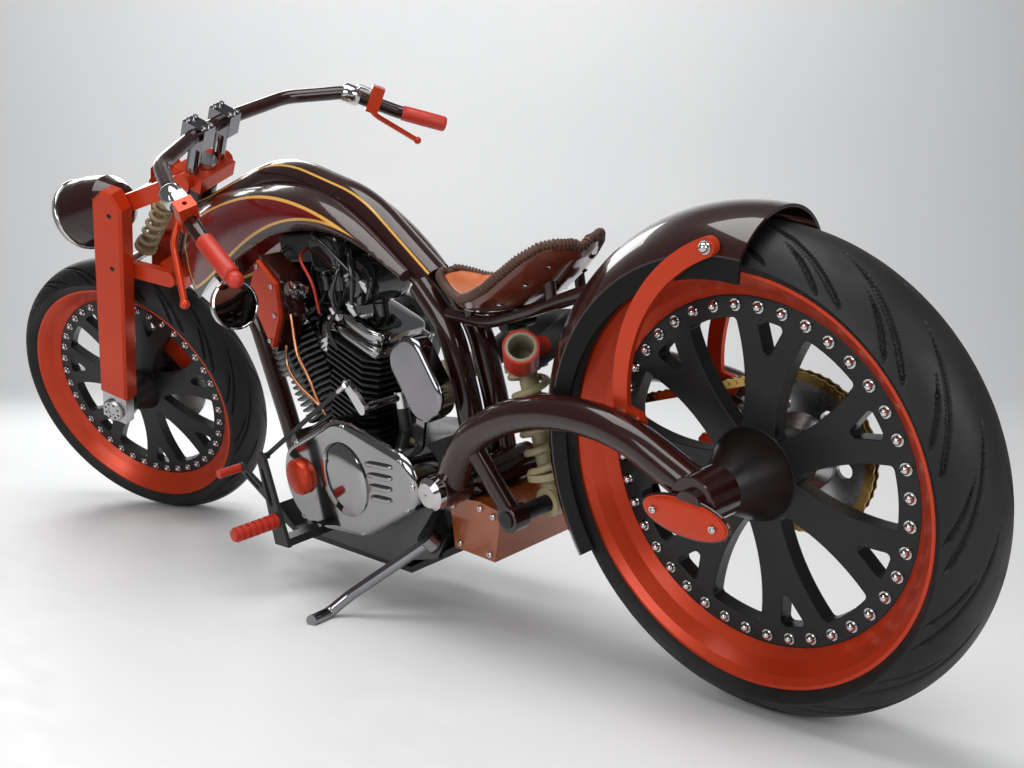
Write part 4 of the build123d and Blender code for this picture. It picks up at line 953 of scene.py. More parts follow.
class Paintbox:
    """Every material of the machine, plain and special."""

    LEATHER_CELLS = 520.0
    SPOKE_EDGE = 0.004

    def __init__(self, stance: Stance) -> None:
        """Builds the shared groups and all materials: the plain ones first, then those painted over.

        Args:
            stance: how the drawing stands in the row frame.
        """
        self.groups = Groups(stance)
        special = {
            "lamp_glass": ("lamp_glass", self._glass),
            "leather_tan": ("leather_tan", self._leather),
            "tank_paint": ("burgundy_paint", self._tank),
            "spine_paint": ("brown_paint", self._spine),
            "wrapped_pipe": ("wrapped_pipe", self._pipe),
            "spoke_black": ("black_satin", self._spokes),
            "fender_paint": ("brown_paint", self._fender),
            "foot_paint": ("black_satin", self._foot),
            "caliper_arm": ("brown_paint", self._caliper_arm),
        }
        self.by_name = {name: finish.start(self.groups, name).material
                        for name, finish in FINISHES.items() if name not in special}
        for name, (finish, paint_over) in special.items():
            canvas = FINISHES[finish].start(self.groups, name)
            paint_over(canvas)
            self.by_name[name] = canvas.material

    def __getitem__(self, name: str) -> bpy.types.Material:
        """The material of that name."""
        return self.by_name[name]

    def _glass(self, canvas: Canvas) -> None:
        """Clear lamp glass with a faint ripple."""
        canvas.set("Transmission Weight", 0.85)

    def _leather(self, canvas: Canvas) -> None:
        """Tan saddle leather: cells for the grain, darker blotches, burnished low gloss.

        Args:
            canvas: the material to paint over.
        """
        graph = canvas.graph
        cells = graph.add("ShaderNodeTexVoronoi", feature="DISTANCE_TO_EDGE")
        graph.feed(cells.inputs["Vector"], graph.place())
        cells.inputs["Scale"].default_value = self.LEATHER_CELLS
        pores = graph.step(cells.outputs["Distance"], 0.0, 0.25)
        grain = graph.math("MULTIPLY_ADD", canvas.tone.outputs["Grain"], 0.4, pores)
        canvas.set("Normal", graph.bump(grain, 0.5, 2.5e-4))

    def _tank(self, canvas: Canvas) -> None:
        """Burgundy panel between two gold lines, brown outside; the lines are cubics in side view.

        Args:
            canvas: the material to paint over.
        """
        graph = canvas.graph
        x, _, z = canvas.upright()
        lower, upper = (np.polyfit(*(np.array(line).T * MM), 3)
                        for line in (TankPanel.LOWER_LINE, TankPanel.UPPER_LINE))
        under = graph.math("SUBTRACT", z, graph.poly(x, lower))
        over = graph.math("SUBTRACT", graph.poly(x, upper), z)
        front = graph.math("SUBTRACT", TankPanel.FRONT_LINE * MM, x)
        inside = graph.chain("MINIMUM", under, over, front)
        half = TankPanel.LINE_HALF * MM
        core = TankPanel.LINE_CORE * half
        panel = graph.step(inside, -half, -core)
        line = graph.math("MULTIPLY", panel, graph.inverse(graph.step(inside, core, half)))
        wine = canvas.two_tone(*FINISHES["burgundy_paint"].tones)
        brown = canvas.two_tone(*TankPanel.BROWN)
        canvas.set("Base Color", graph.blend(line, graph.blend(panel, brown, wine), GOLD))

    def _spine(self, canvas: Canvas) -> None:
        """Brown frame paint with a gold line along each shoulder of the spine.

        Args:
            canvas: the material to paint over.
        """
        graph = canvas.graph
        _, y, z = canvas.upright()
        side = graph.math("SUBTRACT", graph.math("ABSOLUTE", y), Masks.SPINE_LINE_Y)
        line = graph.inverse(graph.step(graph.math("ABSOLUTE", side), *Masks.SPINE_LINE_HALF))
        line = graph.math("MULTIPLY", line, graph.step(z, *Masks.SPINE_LINE_Z))
        plain = canvas.two_tone(*FINISHES["brown_paint"].tones)
        canvas.set("Base Color", graph.blend(line, plain, GOLD))

    def _pipe(self, canvas: Canvas) -> None:
        """Pipe wrap: slanted woven bands, cream by the engine and charcoal towards the red-ringed mouth.

        From the mouth, a point lies along = reach . way down the pipe and away = sqrt(far^2 - along^2) from
        its middle line.

        Args:
            canvas: the material to paint over.
        """
        graph = canvas.graph
        place = canvas.upright()
        x, _, z = place
        band = graph.math("PINGPONG", graph.math("ADD", x, graph.math("MULTIPLY", z, 0.5)), Muffler.BAND * MM)
        wrap = graph.blend(graph.step(x, *Masks.CREAM_WRAP_X), canvas.two_tone(*Muffler.DARK),
                           canvas.two_tone(*Muffler.PALE))
        reach = [graph.math("SUBTRACT", p, float(m)) for p, m in zip(place, Muffler.MOUTH * MM)]
        along = graph.chain("ADD", *[graph.math("MULTIPLY", r, float(w)) for r, w in zip(reach, Muffler.WAY)])
        far = graph.length(*reach)
        square = graph.math("SUBTRACT", graph.math("MULTIPLY", far, far),
                            graph.math("MULTIPLY", along, along))
        away = graph.math("SQRT", graph.math("MAXIMUM", square, 0.0))
        near = graph.math("LESS_THAN", far, Muffler.NEAR * MM)
        ring = graph.math("MULTIPLY", near, graph.math("GREATER_THAN", along, -Muffler.RING_LONG * MM))
        bore = graph.math("MULTIPLY", near, graph.math("LESS_THAN", away, Muffler.BORE_R * MM))
        outer = graph.blend(ring, wrap, canvas.two_tone(*Muffler.RED))
        canvas.set("Base Color", graph.blend(bore, outer, canvas.two_tone(*Muffler.BORE)))
        canvas.set("Roughness", graph.between(ring, 0.78, 0.33))
        fibre = graph.math("MULTIPLY", canvas.tone.outputs["Grain"], 0.5)
        height = graph.math("ADD", graph.step(band, 0.0, Muffler.BAND_SEAM * MM), fibre)
        canvas.set("Normal", graph.bump(graph.math("MULTIPLY", height, graph.inverse(ring)), 0.7, 8e-4))

    def _spokes(self, canvas: Canvas) -> None:
        """Black satin on the cast centres, its machined edges softened.

        Args:
            canvas: the material to paint over.
        """
        edge = canvas.graph.add("ShaderNodeBevel", samples=4)
        edge.inputs["Radius"].default_value = self.SPOKE_EDGE
        bump = canvas.shader.inputs["Normal"].links[0].from_node
        canvas.graph.feed(bump.inputs["Normal"], edge.outputs[0])

    def _fender(self, canvas: Canvas) -> None:
        """Brown paint with a black rubber strip along the side edges, by the distance from the axle.

        Args:
            canvas: the material to paint over.
        """
        graph = canvas.graph
        x, _, z = canvas.upright()
        reach = graph.length(x, graph.math("SUBTRACT", z, TYRE_R * MM))
        paint = graph.step(reach, *Masks.FENDER_STRIP_R)
        brown = canvas.two_tone(*FINISHES["brown_paint"].tones)
        canvas.set("Base Color", graph.blend(paint, STRIP_BLACK, brown))
        canvas.set("Coat Weight", paint)
        canvas.set("Roughness", graph.between(paint, 0.54, 0.28))

    def _foot(self, canvas: Canvas) -> None:
        """Black satin brackets with red pegs outside the plates and a bare gear lever.

        Args:
            canvas: the material to paint over.
        """
        graph = canvas.graph
        x, y, z = canvas.upright()
        peg = graph.math("GREATER_THAN", graph.math("ABSOLUTE", y), Masks.PEG_Y)
        lever = graph.math("MULTIPLY", graph.math("LESS_THAN", x, Masks.LEVER_X),
                           graph.math("GREATER_THAN", z, Masks.LEVER_Z))
        black = canvas.two_tone(*Masks.FOOT_BLACK)
        red = canvas.two_tone(*FINISHES["red_rubber"].tones)
        canvas.set("Base Color", graph.blend(lever, graph.blend(peg, black, red), LEVER_STEEL))
        canvas.set("Metallic", lever)
        canvas.set("Roughness", graph.between(lever, 0.4, 0.1))

    def _caliper_arm(self, canvas: Canvas) -> None:
        """Brown arm paint, red on the brake caliper that the arm carries.

        Args:
            canvas: the material to paint over.
        """
        graph = canvas.graph
        x, y, z = canvas.upright()
        caliper = graph.chain("MULTIPLY", graph.math("GREATER_THAN", y, Masks.CALIPER_Y),
                              graph.math("GREATER_THAN", x, Masks.CALIPER_X),
                              graph.math("LESS_THAN", z, Masks.CALIPER_Z))
        brown = canvas.two_tone(*Masks.ARM_BROWN)
        red = canvas.two_tone(*Masks.CALIPER_RED)
        canvas.set("Base Color", graph.blend(caliper, brown, red))


# Sub-assemblies


@dataclass
class WheelDress:
    """One wheel: treaded tyre and bolt circles."""

    name: str
    body: str
    frame: Frame
    centre: Point
    crown: float
    rim_half: float
    lip_r: float = 306.0
    lip_gap: float = 0.6
    rim_gap: float = 0.3
    bead_in: float = 6.0
    tread_edge: float = math.radians(60.0)
    bulge: float = 2.2
    line_deep: float = 2.0
    line_at: float = 0.55
    line_wide: float = 0.06
    groove_deep: float = 5.0
    groove_pitch: int = 17
    groove_slope: float = 4.5
    fade_in: float = 0.2
    fade_out: float = 0.1
    sweep_power: float = 0.8
    arc_steps: int = 85
    wall_steps: int = 9
    round_steps: int = 780
    bolt_r: float = 248.0
    bolt_count: int = 40
    face: float = 16.0
    plate: float = 26.0

    # Start and stop across the tread, sweep in radians, turn in pitches, half width in millimetres
    GROOVES = ((0.1, 0.95, 0.62, 0.0, 10.0), (0.42, 0.99, 0.3, 0.5, 8.0))
    ON_WALL = 2.0

    def tyre(self) -> Shell:
        """The treaded tyre: section point p(v) turned by u, pushed in by the groove depth d(u, v).

        The crown is an arc of radius c about the ring R - c; the walls run straight to the rim lip with a
        small bulge and a fine moulded line. Grooves sweep from near the middle to the shoulder: d is deep
        where the arc length to the swept line, u - sweep(v) modulo the pitch, is less than half the groove's
        width.

        Returns:
            The tyre's shell about its own axle.
        """
        phi = np.linspace(-self.tread_edge, self.tread_edge, self.arc_steps)
        out = on_circle(1.0, phi)
        crown = np.array([TYRE_R - self.crown, 0.0]) + self.crown * out
        t = np.linspace(0, 1, self.wall_steps)[1:]
        lip_r = self.lip_r + self.lip_gap
        lip = np.array([lip_r, self.rim_half + self.rim_gap])
        wall = crown[-1] + t[:, None] * (lip - crown[-1])
        line = np.exp(-(((t - self.line_at) / self.line_wide) ** 2))
        wall[:, 1] += self.bulge * np.sin(math.pi * t) - self.line_deep * line
        half = np.vstack([wall, [[lip_r, self.rim_half - self.bead_in]]])
        section = np.vstack([half[::-1] * [1, -1], crown, half])
        beyond, still = np.full(len(half), self.ON_WALL), np.zeros((len(half), 2))
        u = np.linspace(0, FULL_TURN, self.round_steps, endpoint=False)[:, None]
        depth = self.grooves(u, np.concatenate([beyond, phi / self.tread_edge, beyond])[None])
        rows = section[None] - depth[..., None] * np.vstack([still, out, still])[None]
        grid = np.stack([rows[..., 0] * np.cos(u), rows[..., 1], rows[..., 0] * np.sin(u)], -1)
        return grid_shell(grid, True, True)

    def grooves(self, u: np.ndarray, lateral: np.ndarray) -> np.ndarray:
        """Groove depth at each angle and lateral place, -1 to 1 across the tread.

        Args:
            u: angles round the wheel.
            lateral: places across the tread, beyond 1 on the walls.

        Returns:
            Depths in millimetres.
        """
        a = np.abs(lateral)
        pitch = FULL_TURN / self.groove_pitch
        shift = np.where(lateral > 0, 0.5 * pitch, 0.0)
        depth = np.zeros(np.broadcast(u, lateral).shape)
        for start, stop, sweep, turn, half_wide in self.GROOVES:
            share = np.clip((a - start) / (1 - start), 0, 1)
            line = u - shift - sweep * share ** self.sweep_power - turn * pitch
            gap = np.abs((line + 0.5 * pitch) % pitch - 0.5 * pitch) * TYRE_R
            fade = np.minimum((a - start) / self.fade_in, (stop - a) / self.fade_out)
            wide = half_wide * np.clip(fade, 0, 1)
            depth = np.maximum(depth, np.clip((wide - gap) / self.groove_slope, 0, 1))
        return depth * self.groove_deep * (a < 1.0)

    def bolt_circles(self) -> Shell:
        """Acorn nuts round the spoked centre's edge, on both of its faces.

        Returns:
            The nuts about the wheel's own axle.
        """
        ring = on_circle(self.bolt_r, np.arange(self.bolt_count) * FULL_TURN / self.bolt_count)
        left = bolts(on_side(ring, self.face), LEFT, ACORN_NUT)
        right = bolts(on_side(ring, self.face - self.plate), -LEFT, ACORN_NUT)
        return joined([left, right])

    def build(self, bench: Bench) -> None:
        """Makes the wheel's pieces.

        Args:
            bench: where pieces are made.
        """
        bench.piece(f"{self.name}_tread", self.tyre().at(*self.centre), "tyre_rubber", body=self.body,
                    frame=self.frame, replaces=(f"{self.name}_tyre",), crease=30.0)
        bench.piece(f"{self.name}_wheel_nuts", self.bolt_circles().at(*self.centre), "chrome", body=self.body,
                    frame=self.frame)


@dataclass
class ChainDress:
    """Rollers and pins of the drive chain."""

    y: float = -104.0
    big_r: float = 120.0
    small_r: float = 46.0
    front: tuple[float, float] = (668.0, 300.0)
    pitch: float = 15.875
    roller_r: float = 5.0
    roller_half: float = 4.4
    pin_r: float = 3.0
    pin_half: float = 8.6
    front_steps: int = 60
    rear_steps: int = 160

    def loop(self) -> np.ndarray:
        """Even places (x, z) round both chain wheels: two tangent runs and two arcs, by their arc length.

        Returns:
            One place a link.
        """
        front, rear = np.array(self.front), np.array([0.0, TYRE_R])
        run = front - rear
        tilt = math.atan2(run[1], run[0])
        spread = math.asin((self.big_r - self.small_r) / np.hypot(*run))
        up, down = tilt + math.pi / 2 - spread, tilt - math.pi / 2 + spread
        front = front + on_circle(self.small_r, np.linspace(up, down, self.front_steps))
        rear = rear + on_circle(self.big_r, np.linspace(down, up - FULL_TURN, self.rear_steps))
        line = np.vstack([front, rear, front[:1]])
        return evenly(line, round(running_length(line)[-1] / self.pitch))

    def build(self, bench: Bench) -> None:
        """Makes rollers between the plates and the pins through them.

        Args:
            bench: where pieces are made.
        """
        at = on_side(self.loop(), self.y)
        turns = np.broadcast_to(np.eye(3), (len(at), 3, 3))
        for name, r, half, finish in (("chain_rollers", self.roller_r, self.roller_half, "dark_oil_steel"),
                                      ("chain_pins", self.pin_r, self.pin_half, "gold_chain")):
            part = lathe([(0.8 * r, -half), (r, 0.2 * r - half), (r, half - 0.2 * r), (0.8 * r, half)], 12)
            bench.piece(name, copies(part, turns, at), finish, "gold_chain")


@dataclass
class SaddleDress:
    """The laced leather saddle and its pan."""

    thick: float = 9.0
    crown: float = 5.0
    pan_deep: float = 27.0
    pan_gap: float = 1.0
    voxel: float = 0.0045
    cap: float = 0.004
    frames: int = 14
    pressure: float = 3.0
    quality: int = 5
    stitches: int = 150
    stitch_steps: int = 12
    lace_r: float = 1.9
    lace_out: float = 0.6
    edge_r: float = 6.4
    edge_drop: float = 8.0
    edge_steps: int = 260
    rivet_w: float = 0.72
    rivet_up: float = 0.4

    # x, middle height, half width, edge rise
    STATIONS = (
        (644, 664, 20, 6), (628, 652, 34, 10), (600, 636, 48, 14), (555, 625, 72, 16), (510, 618, 92, 18),
        (465, 622, 106, 22), (420, 632, 114, 26), (385, 648, 107, 31), (350, 668, 92, 34), (326, 688, 70, 28),
        (310, 700, 50, 18), (302, 705, 30, 8),
    )
    PAD_GRID = (41, 61)
    PAN_GRID = (31, 41)
    PAN_IN = np.array([0.97, 0.93, 1.0])
    RIVET_X = (570.0, 500.0, 430.0, 370.0, 330.0)
    LACE_REF = (0.13, 0.31, 0.94)

    def dish(self, across: int, along: int) -> np.ndarray:
        """The saddle's top: z = mid + rise w^2, with w from -1 to 1 across the station's width.

        Args:
            across: points across the saddle.
            along: points along it.

        Returns:
            A grid of points.
        """
        rows = np.array(self.STATIONS, float)
        last = len(rows) - 1
        t = np.linspace(0, last, along)
        x, mid, half, rise = (np.interp(t, np.arange(last + 1), rows[:, k])[:, None] for k in range(4))
        w = np.linspace(-1, 1, across)[None]
        ends = np.clip(np.minimum(t, last - t) / 0.5, 0, 1)[:, None] ** 0.5
        half = half * (0.55 + 0.45 * ends)
        return np.stack([np.broadcast_to(x, (along, across)), w * half, mid + rise * w**2], -1)

    def pad(self) -> Shell:
        """A closed pad: the dish with a low crown on top, and the same dish let down below.

        Returns:
            The pad before it is stuffed.
        """
        top = self.dish(*self.PAD_GRID)
        low = top - [0, 0, self.thick]
        w, v = (np.linspace(-1, 1, count) for count in self.PAD_GRID)
        swell = np.clip(1 - w**6, 0, 1)[None] * np.clip(1 - v**10, 0, 1)[:, None]
        top[..., 2] += self.crown * (swell - 1.0)
        return slab(top, low)

    def swell(self, obj: bpy.types.Object) -> None:
        """Remeshes the pad, blows it up as cloth for a few frames and keeps each point within the cap.

        Args:
            obj: the pad's object.
        """
        scene = bpy.context.scene
        bpy.context.view_layer.objects.active = obj
        obj.data.remesh_voxel_size = self.voxel
        with bpy.context.temp_override(active_object=obj, object=obj, selected_objects=[obj]):
            bpy.ops.object.voxel_remesh()
        rest = np.empty(len(obj.data.vertices) * 3, np.float32)
        obj.data.vertices.foreach_get("co", rest)
        cloth = obj.modifiers.new("stuffing", "CLOTH")
        cloth.settings.use_pressure = True
        cloth.settings.uniform_pressure_force = self.pressure
        cloth.settings.effector_weights.gravity = 0.0
        cloth.settings.quality = self.quality
        cloth.point_cache.frame_end = self.frames
        for number in range(1, self.frames + 1):
            scene.frame_set(number)
        shape = obj.evaluated_get(bpy.context.evaluated_depsgraph_get()).data
        moved = np.empty(len(shape.vertices) * 3, np.float32)
        shape.vertices.foreach_get("co", moved)
        obj.modifiers.remove(cloth)
        scene.frame_set(1)
        step = (moved - rest).reshape(-1, 3)
        far = np.linalg.norm(step, axis=1, keepdims=True)
        step *= np.minimum(1.0, self.cap / np.maximum(far, 1e-9))
        obj.data.vertices.foreach_set("co", (rest.reshape(-1, 3) + step).astype(np.float32).ravel())
        obj.data.update()

    def rim(self, count: int) -> np.ndarray:
        """Even points round the dish's edge, let down to the middle of the rolled edge.

        Args:
            count: how many points come back.

        Returns:
            The points of the closed line.
        """
        top = self.dish(*self.PAD_GRID)
        loop = np.vstack([top[:, -1], top[-1, ::-1][1:], top[::-1, 0][1:], top[0][1:-1]])
        path = evenly(np.vstack([loop, loop[:1]]), count)
        path[:, 2] -= self.edge_drop
        return path

    def lacing(self) -> Shell:
        """A whip stitch: a thin lace that winds round the edge as a long coil, p + a (side cos w + up sin w).

        Returns:
            The closed lace.
        """
        count = self.stitches * self.stitch_steps
        path = self.rim(count)
        side, up = path_frames(path, (0, 0, 1), True)
        w = np.arange(count)[:, None] * FULL_TURN / self.stitch_steps
        coil = path + (self.edge_r + self.lace_out) * (side * np.cos(w) + up * np.sin(w))
        return swept(coil, self.lace_r, 6, self.LACE_REF, True)

    def edge_roll(self) -> Shell:
        """The rolled leather edge inside the lace: a round section carried round the rim."""
        return swept(self.rim(self.edge_steps), self.edge_r, 12, closed=True)

    def pan(self) -> Shell:
        """The base under the pad: the dish let down and drawn in a little, as a closed shell.

        Returns:
            The pan.
        """
        top = self.dish(*self.PAN_GRID)
        middle = top.mean((0, 1))
        lower = middle + (top - middle) * self.PAN_IN - [0, 0, self.pan_deep]
        return slab(top - [0, 0, self.thick + self.pan_gap], lower)

    def rivets(self) -> Shell:
        """Rivets on the pan's lower face, where w = +-0.72, square to it.

        Returns:
            All the rivets.
        """
        rows = np.array(self.STATIONS, float)[::-1]
        x = np.repeat(self.RIVET_X, 2)
        w = np.tile(self.rivet_w * np.array(SIDES), len(self.RIVET_X))
        mid, half, rise = (np.interp(x, rows[:, 0], rows[:, k]) for k in (1, 2, 3))
        height = mid + rise * w**2 - self.pan_deep + self.rivet_up
        spots = np.stack([x, w * half * self.PAN_IN[1], height], -1)
        out = np.stack([np.zeros_like(w), 2 * rise * w / half, -np.ones_like(w)], -1)
        return bolts(spots, out, RIVET)

    def build(self, bench: Bench) -> None:
        """Makes pad, lace, edge, pan and rivets.

        Args:
            bench: where pieces are made.
        """
        pad = bench.piece("saddle_pad", self.pad(), "leather_tan", replaces=("seat",), crease=180.0)
        self.swell(pad)
        smooth = pad.modifiers.new("round", "SUBSURF")
        smooth.levels = smooth.render_levels = 1
        pad.data.shade_smooth()
        bench.piece("saddle_lace", self.lacing(), "lace_leather", "leather_tan", crease=180.0)
        bench.piece("saddle_edge", self.edge_roll(), "edge_leather", "leather_tan", crease=180.0)
        bench.piece("saddle_pan", self.pan(), "pan_leather", "leather_tan")
        bench.piece("saddle_rivets", self.rivets(), "chrome")


@dataclass
class EngineDress:
    """Covers, screws, lines and the dark parts under the tank."""

    crank: tuple[float, float] = (1005.0, 255.0)
    cover_face: float = 150.0
    plate_face: float = 141.0
    screw_sunk: float = 8.0
    coil_back: float = 52.0
    coil_apart: float = 26.0
    can_back: float = 136.0
    cylinder_lean: float = math.radians(22.5)

    CLUTCH_DOME = [(74, 0), (74, 3), (66, 9), (40, 14), (12, 16)]
    CRANK_DOME = [(37.8, 0), (37.8, 8), (35, 14), (24, 18), (8, 18.8)]
    SWITCH = [(17, 0), (17, 26), (14, 30), (14, 36), (5, 38)]
    SWITCH_WAY = (-0.3, 0.9, 0.3)
    COIL_STACK = [(15, 0), (15, 26), (11, 30), (9, 40)]
    THROTTLE = [(30, -62), (37, -58), (37, -20), (30, -14), (30, 22), (35, 26), (35, 54), (27, 58)]
    BREATHER = [(30, -52), (44, -50), (48, -44), (48, -30), (45, -28), (45, 28), (48, 30), (48, 44), (44, 50),
                (30, 52), (28, 58), (12, 59)]
    BREATHER_NECK = [(16, 0), (16, 30), (20, 34), (20, 44)]
    CABLE_END = [(8, -14), (8, 6), (6, 9), (6, 16), (4, 17)]
    CABLE_END_WAY = np.array([0.0, 0.5, 0.87])
    # Middle of each arc ahead of and above the crank, its radius, and the screws' angles in degrees
    SCREW_ARCS = ((0, 0, 84, (-95, -60, 75)), (-138, 28, 106, (60, 100, 140, 255, 290)),
                  (-300, 40, 50, (120, 180, 240)))
    PLATE_SCREWS = ((1112, 640), (1066, 696), (1024, 656), (1030, 598), (1066, 546))
    OIL_LINES = (
        ((1046, 120, 532), (1040, 128, 490), (1000, 134, 455), (950, 128, 420), (946, 118, 396)),
        ((1012, 118, 596), (996, 128, 520), (960, 132, 470), (950, 128, 430), (946, 118, 396)),
    )
    CABLES = (
        ((1100, 30, 724), (1112, 58, 704), (1104, 70, 650), (1090, 74, 598)),
        ((1110, 34, 700), (1128, 70, 676), (1106, 86, 630), (1062, 78, 584)),
        ((900, 34, 722), (862, 60, 704), (846, 74, 654), (872, 66, 600)),
        ((912, 34, 702), (884, 72, 680), (900, 86, 636), (926, 70, 590)),
        ((1010, 40, 738), (950, 74, 742), (892, 70, 700), (842, 50, 640)),
    )
    RED_LEAD = ((1034, 40, 716), (996, 84, 700), (962, 88, 652), (976, 74, 590))

    def block(self, size: Point, power: float, ahead: float, y: float, z: float) -> Shell:
        """A soft-edged block, its place given ahead of the crank."""
        return rounded_block(size, power).at(self.crank[0] + ahead, y, z)

    def cover_screws(self) -> Shell:
        """Screws on arcs round the primary cover: (x + r cos a, seat, z + r sin a).

        Returns:
            All the screws.
        """
        middles = np.array([arc[:2] for arc in self.SCREW_ARCS], float) + self.crank
        spots = np.vstack([middle + on_circle(arc[2], np.radians(arc[3]))
                           for middle, arc in zip(middles, self.SCREW_ARCS)])
        return bolts(on_side(spots, self.cover_face - self.screw_sunk), LEFT, CAP_SCREW, 1.2)

    def covers(self, bench: Bench) -> None:
        """Makes the domes, screws and ribs of the primary cover.

        Args:
            bench: where pieces are made.
        """
        x, z = self.crank
        face = self.cover_face
        dome = lathe(self.CLUTCH_DOME, 48).at(x - 138, face, z + 28)
        bench.piece("clutch_dome", dome, "cover_chrome", "chrome")
        bench.piece("primary_screws", self.cover_screws(), "chrome")
        cap = lathe(self.CRANK_DOME, 40).at(x + 22, face, z + 14)
        bench.piece("crank_dome", cap, "red_paint", replaces=("crank_cap",))
        ribs = [rounded_block((80 - 6 * k, 14, 10), 4.0).at(744 + 3 * k, face, 326 - 22 * k)
                for k in range(4)]
        bench.piece("primary_ribs", joined(ribs), "cover_chrome", "chrome")

    def rockers(self, bench: Bench) -> None:
        """Makes the two stepped rocker covers with their screws, tilted with the cylinders.

        Args:
            bench: where pieces are made.
        """
        foot = np.array([self.crank[0], 0.0, self.crank[1]])
        for name, lean in (("front", 1.0), ("rear", -1.0)):
            turn = about_y(self.cylinder_lean * lean)
            steps = (((168, 150, 20), 9.0, 0, 310), ((150, 132, 34), 5.0, 0, 333),
                     ((60, 128, 22), 4.0, lean * 30, 339))
            cover = [rounded_block(size, power).moved(turn, foot + turn @ [ahead, 0, up])
                     for size, power, ahead, up in steps]
            bench.piece(f"rocker_cover_{name}", joined(cover), "cover_chrome", "chrome",
                        replaces=(f"rocker_box_{name}",), crease=50.0)
            spots = np.array([(sx * 76, sy * 67, 319.4) for sx in (-1, 1) for sy in (-1, 0, 1)], float)
            screws = bolts(spots @ turn.T + foot, turn @ [0, 0, 1], CAP_SCREW, 0.9)
            bench.piece(f"rocker_screws_{name}", screws, "chrome")

    def coil(self, bench: Bench) -> None:
        """Makes the engine's upper mount with the coil, the throttle body and the plug leads.

        Args:
            bench: where pieces are made.
        """
        x = self.crank[0]
        at = x - self.coil_back
        apart = (-self.coil_apart, self.coil_apart)
        mount = [self.block((26, 44, 250), 9.0, 0, 0, 690), self.block((190, 40, 22), 7.0, 0, 0, 590),
                 self.block((104, 64, 76), 6.0, -self.coil_back, 30, 706)]
        mount += [lathe(self.COIL_STACK, 20, "Z").at(at + k, 44, 632) for k in apart]
        bench.piece("upper_mount", joined(mount), "black_gloss", "black_satin")
        bench.piece("throttle_body", lathe(self.THROTTLE, 36).at(x, 0, 538), "chrome", "case_metal")
        leads = [cable([(at + k, 44, 634), (at + 1.4 * k, 66, 604), (x + 2.6 * k, 84, 560),
                        (x + 3.2 * k, 80, 520)], 4.2) for k in apart]
        bench.piece("plug_leads", joined(leads), "black_satin")

    def under_tank(self, bench: Bench) -> None:
        """Makes the wiring box, regulator, breather can, cables and leads between heads and spine.

        Args:
            bench: where pieces are made.
        """
        can_x = self.crank[0] - self.can_back
        bench.piece("wiring_box", self.block((250, 84, 62), 10.0, 15, 0, 716), "black_satin")
        core = self.block((132, 50, 92), 6.0, 96, -12, 644)
        fins = [self.block((8, 76, 108), 2.5, 36 + 20 * k, -12, 644) for k in range(7)]
        bench.piece("regulator", joined([core, *fins]), "black_satin")
        can = lathe(self.BREATHER, 48).at(can_x, 0, 648)
        neck = lathe(self.BREATHER_NECK, 28, "Z").at(can_x, 0, 568)
        strap = self.block((76, 34, 14), 5.0, -108, 0, 692)
        bench.piece("breather_can", joined([can, neck, strap]), "black_gloss", "black_satin")
        cables = joined([cable(row, 4.6) for row in self.CABLES])
        bench.piece("cable_loom", cables, "black_gloss", "black_satin")
        bench.piece("red_lead", cable(self.RED_LEAD, 3.0), "red_rubber")
        ends = np.array([row[-1] for row in self.CABLES], float)
        bench.piece("cable_ends", bolts(ends, self.CABLE_END_WAY, self.CABLE_END), "chrome")

    def build(self, bench: Bench) -> None:
        """Makes the trim of covers, side box and lines.

        Args:
            bench: where pieces are made.
        """
        self.covers(bench)
        self.rockers(bench)
        screws = bolts(on_side(self.PLATE_SCREWS, self.plate_face), LEFT, CAP_SCREW, 0.8)
        bench.piece("side_plate_screws", screws, "chrome")
        switch = lathe(self.SWITCH, 28).moved(facing(self.SWITCH_WAY)[0], (985, 100, 640))
        bench.piece("ignition_switch", switch, "chrome")
        self.coil(bench)
        self.under_tank(bench)
        lines = joined([cable(row, 3.2, 48) for row in self.OIL_LINES])
        bench.piece("oil_lines", lines, "copper_line", "copper_paint")


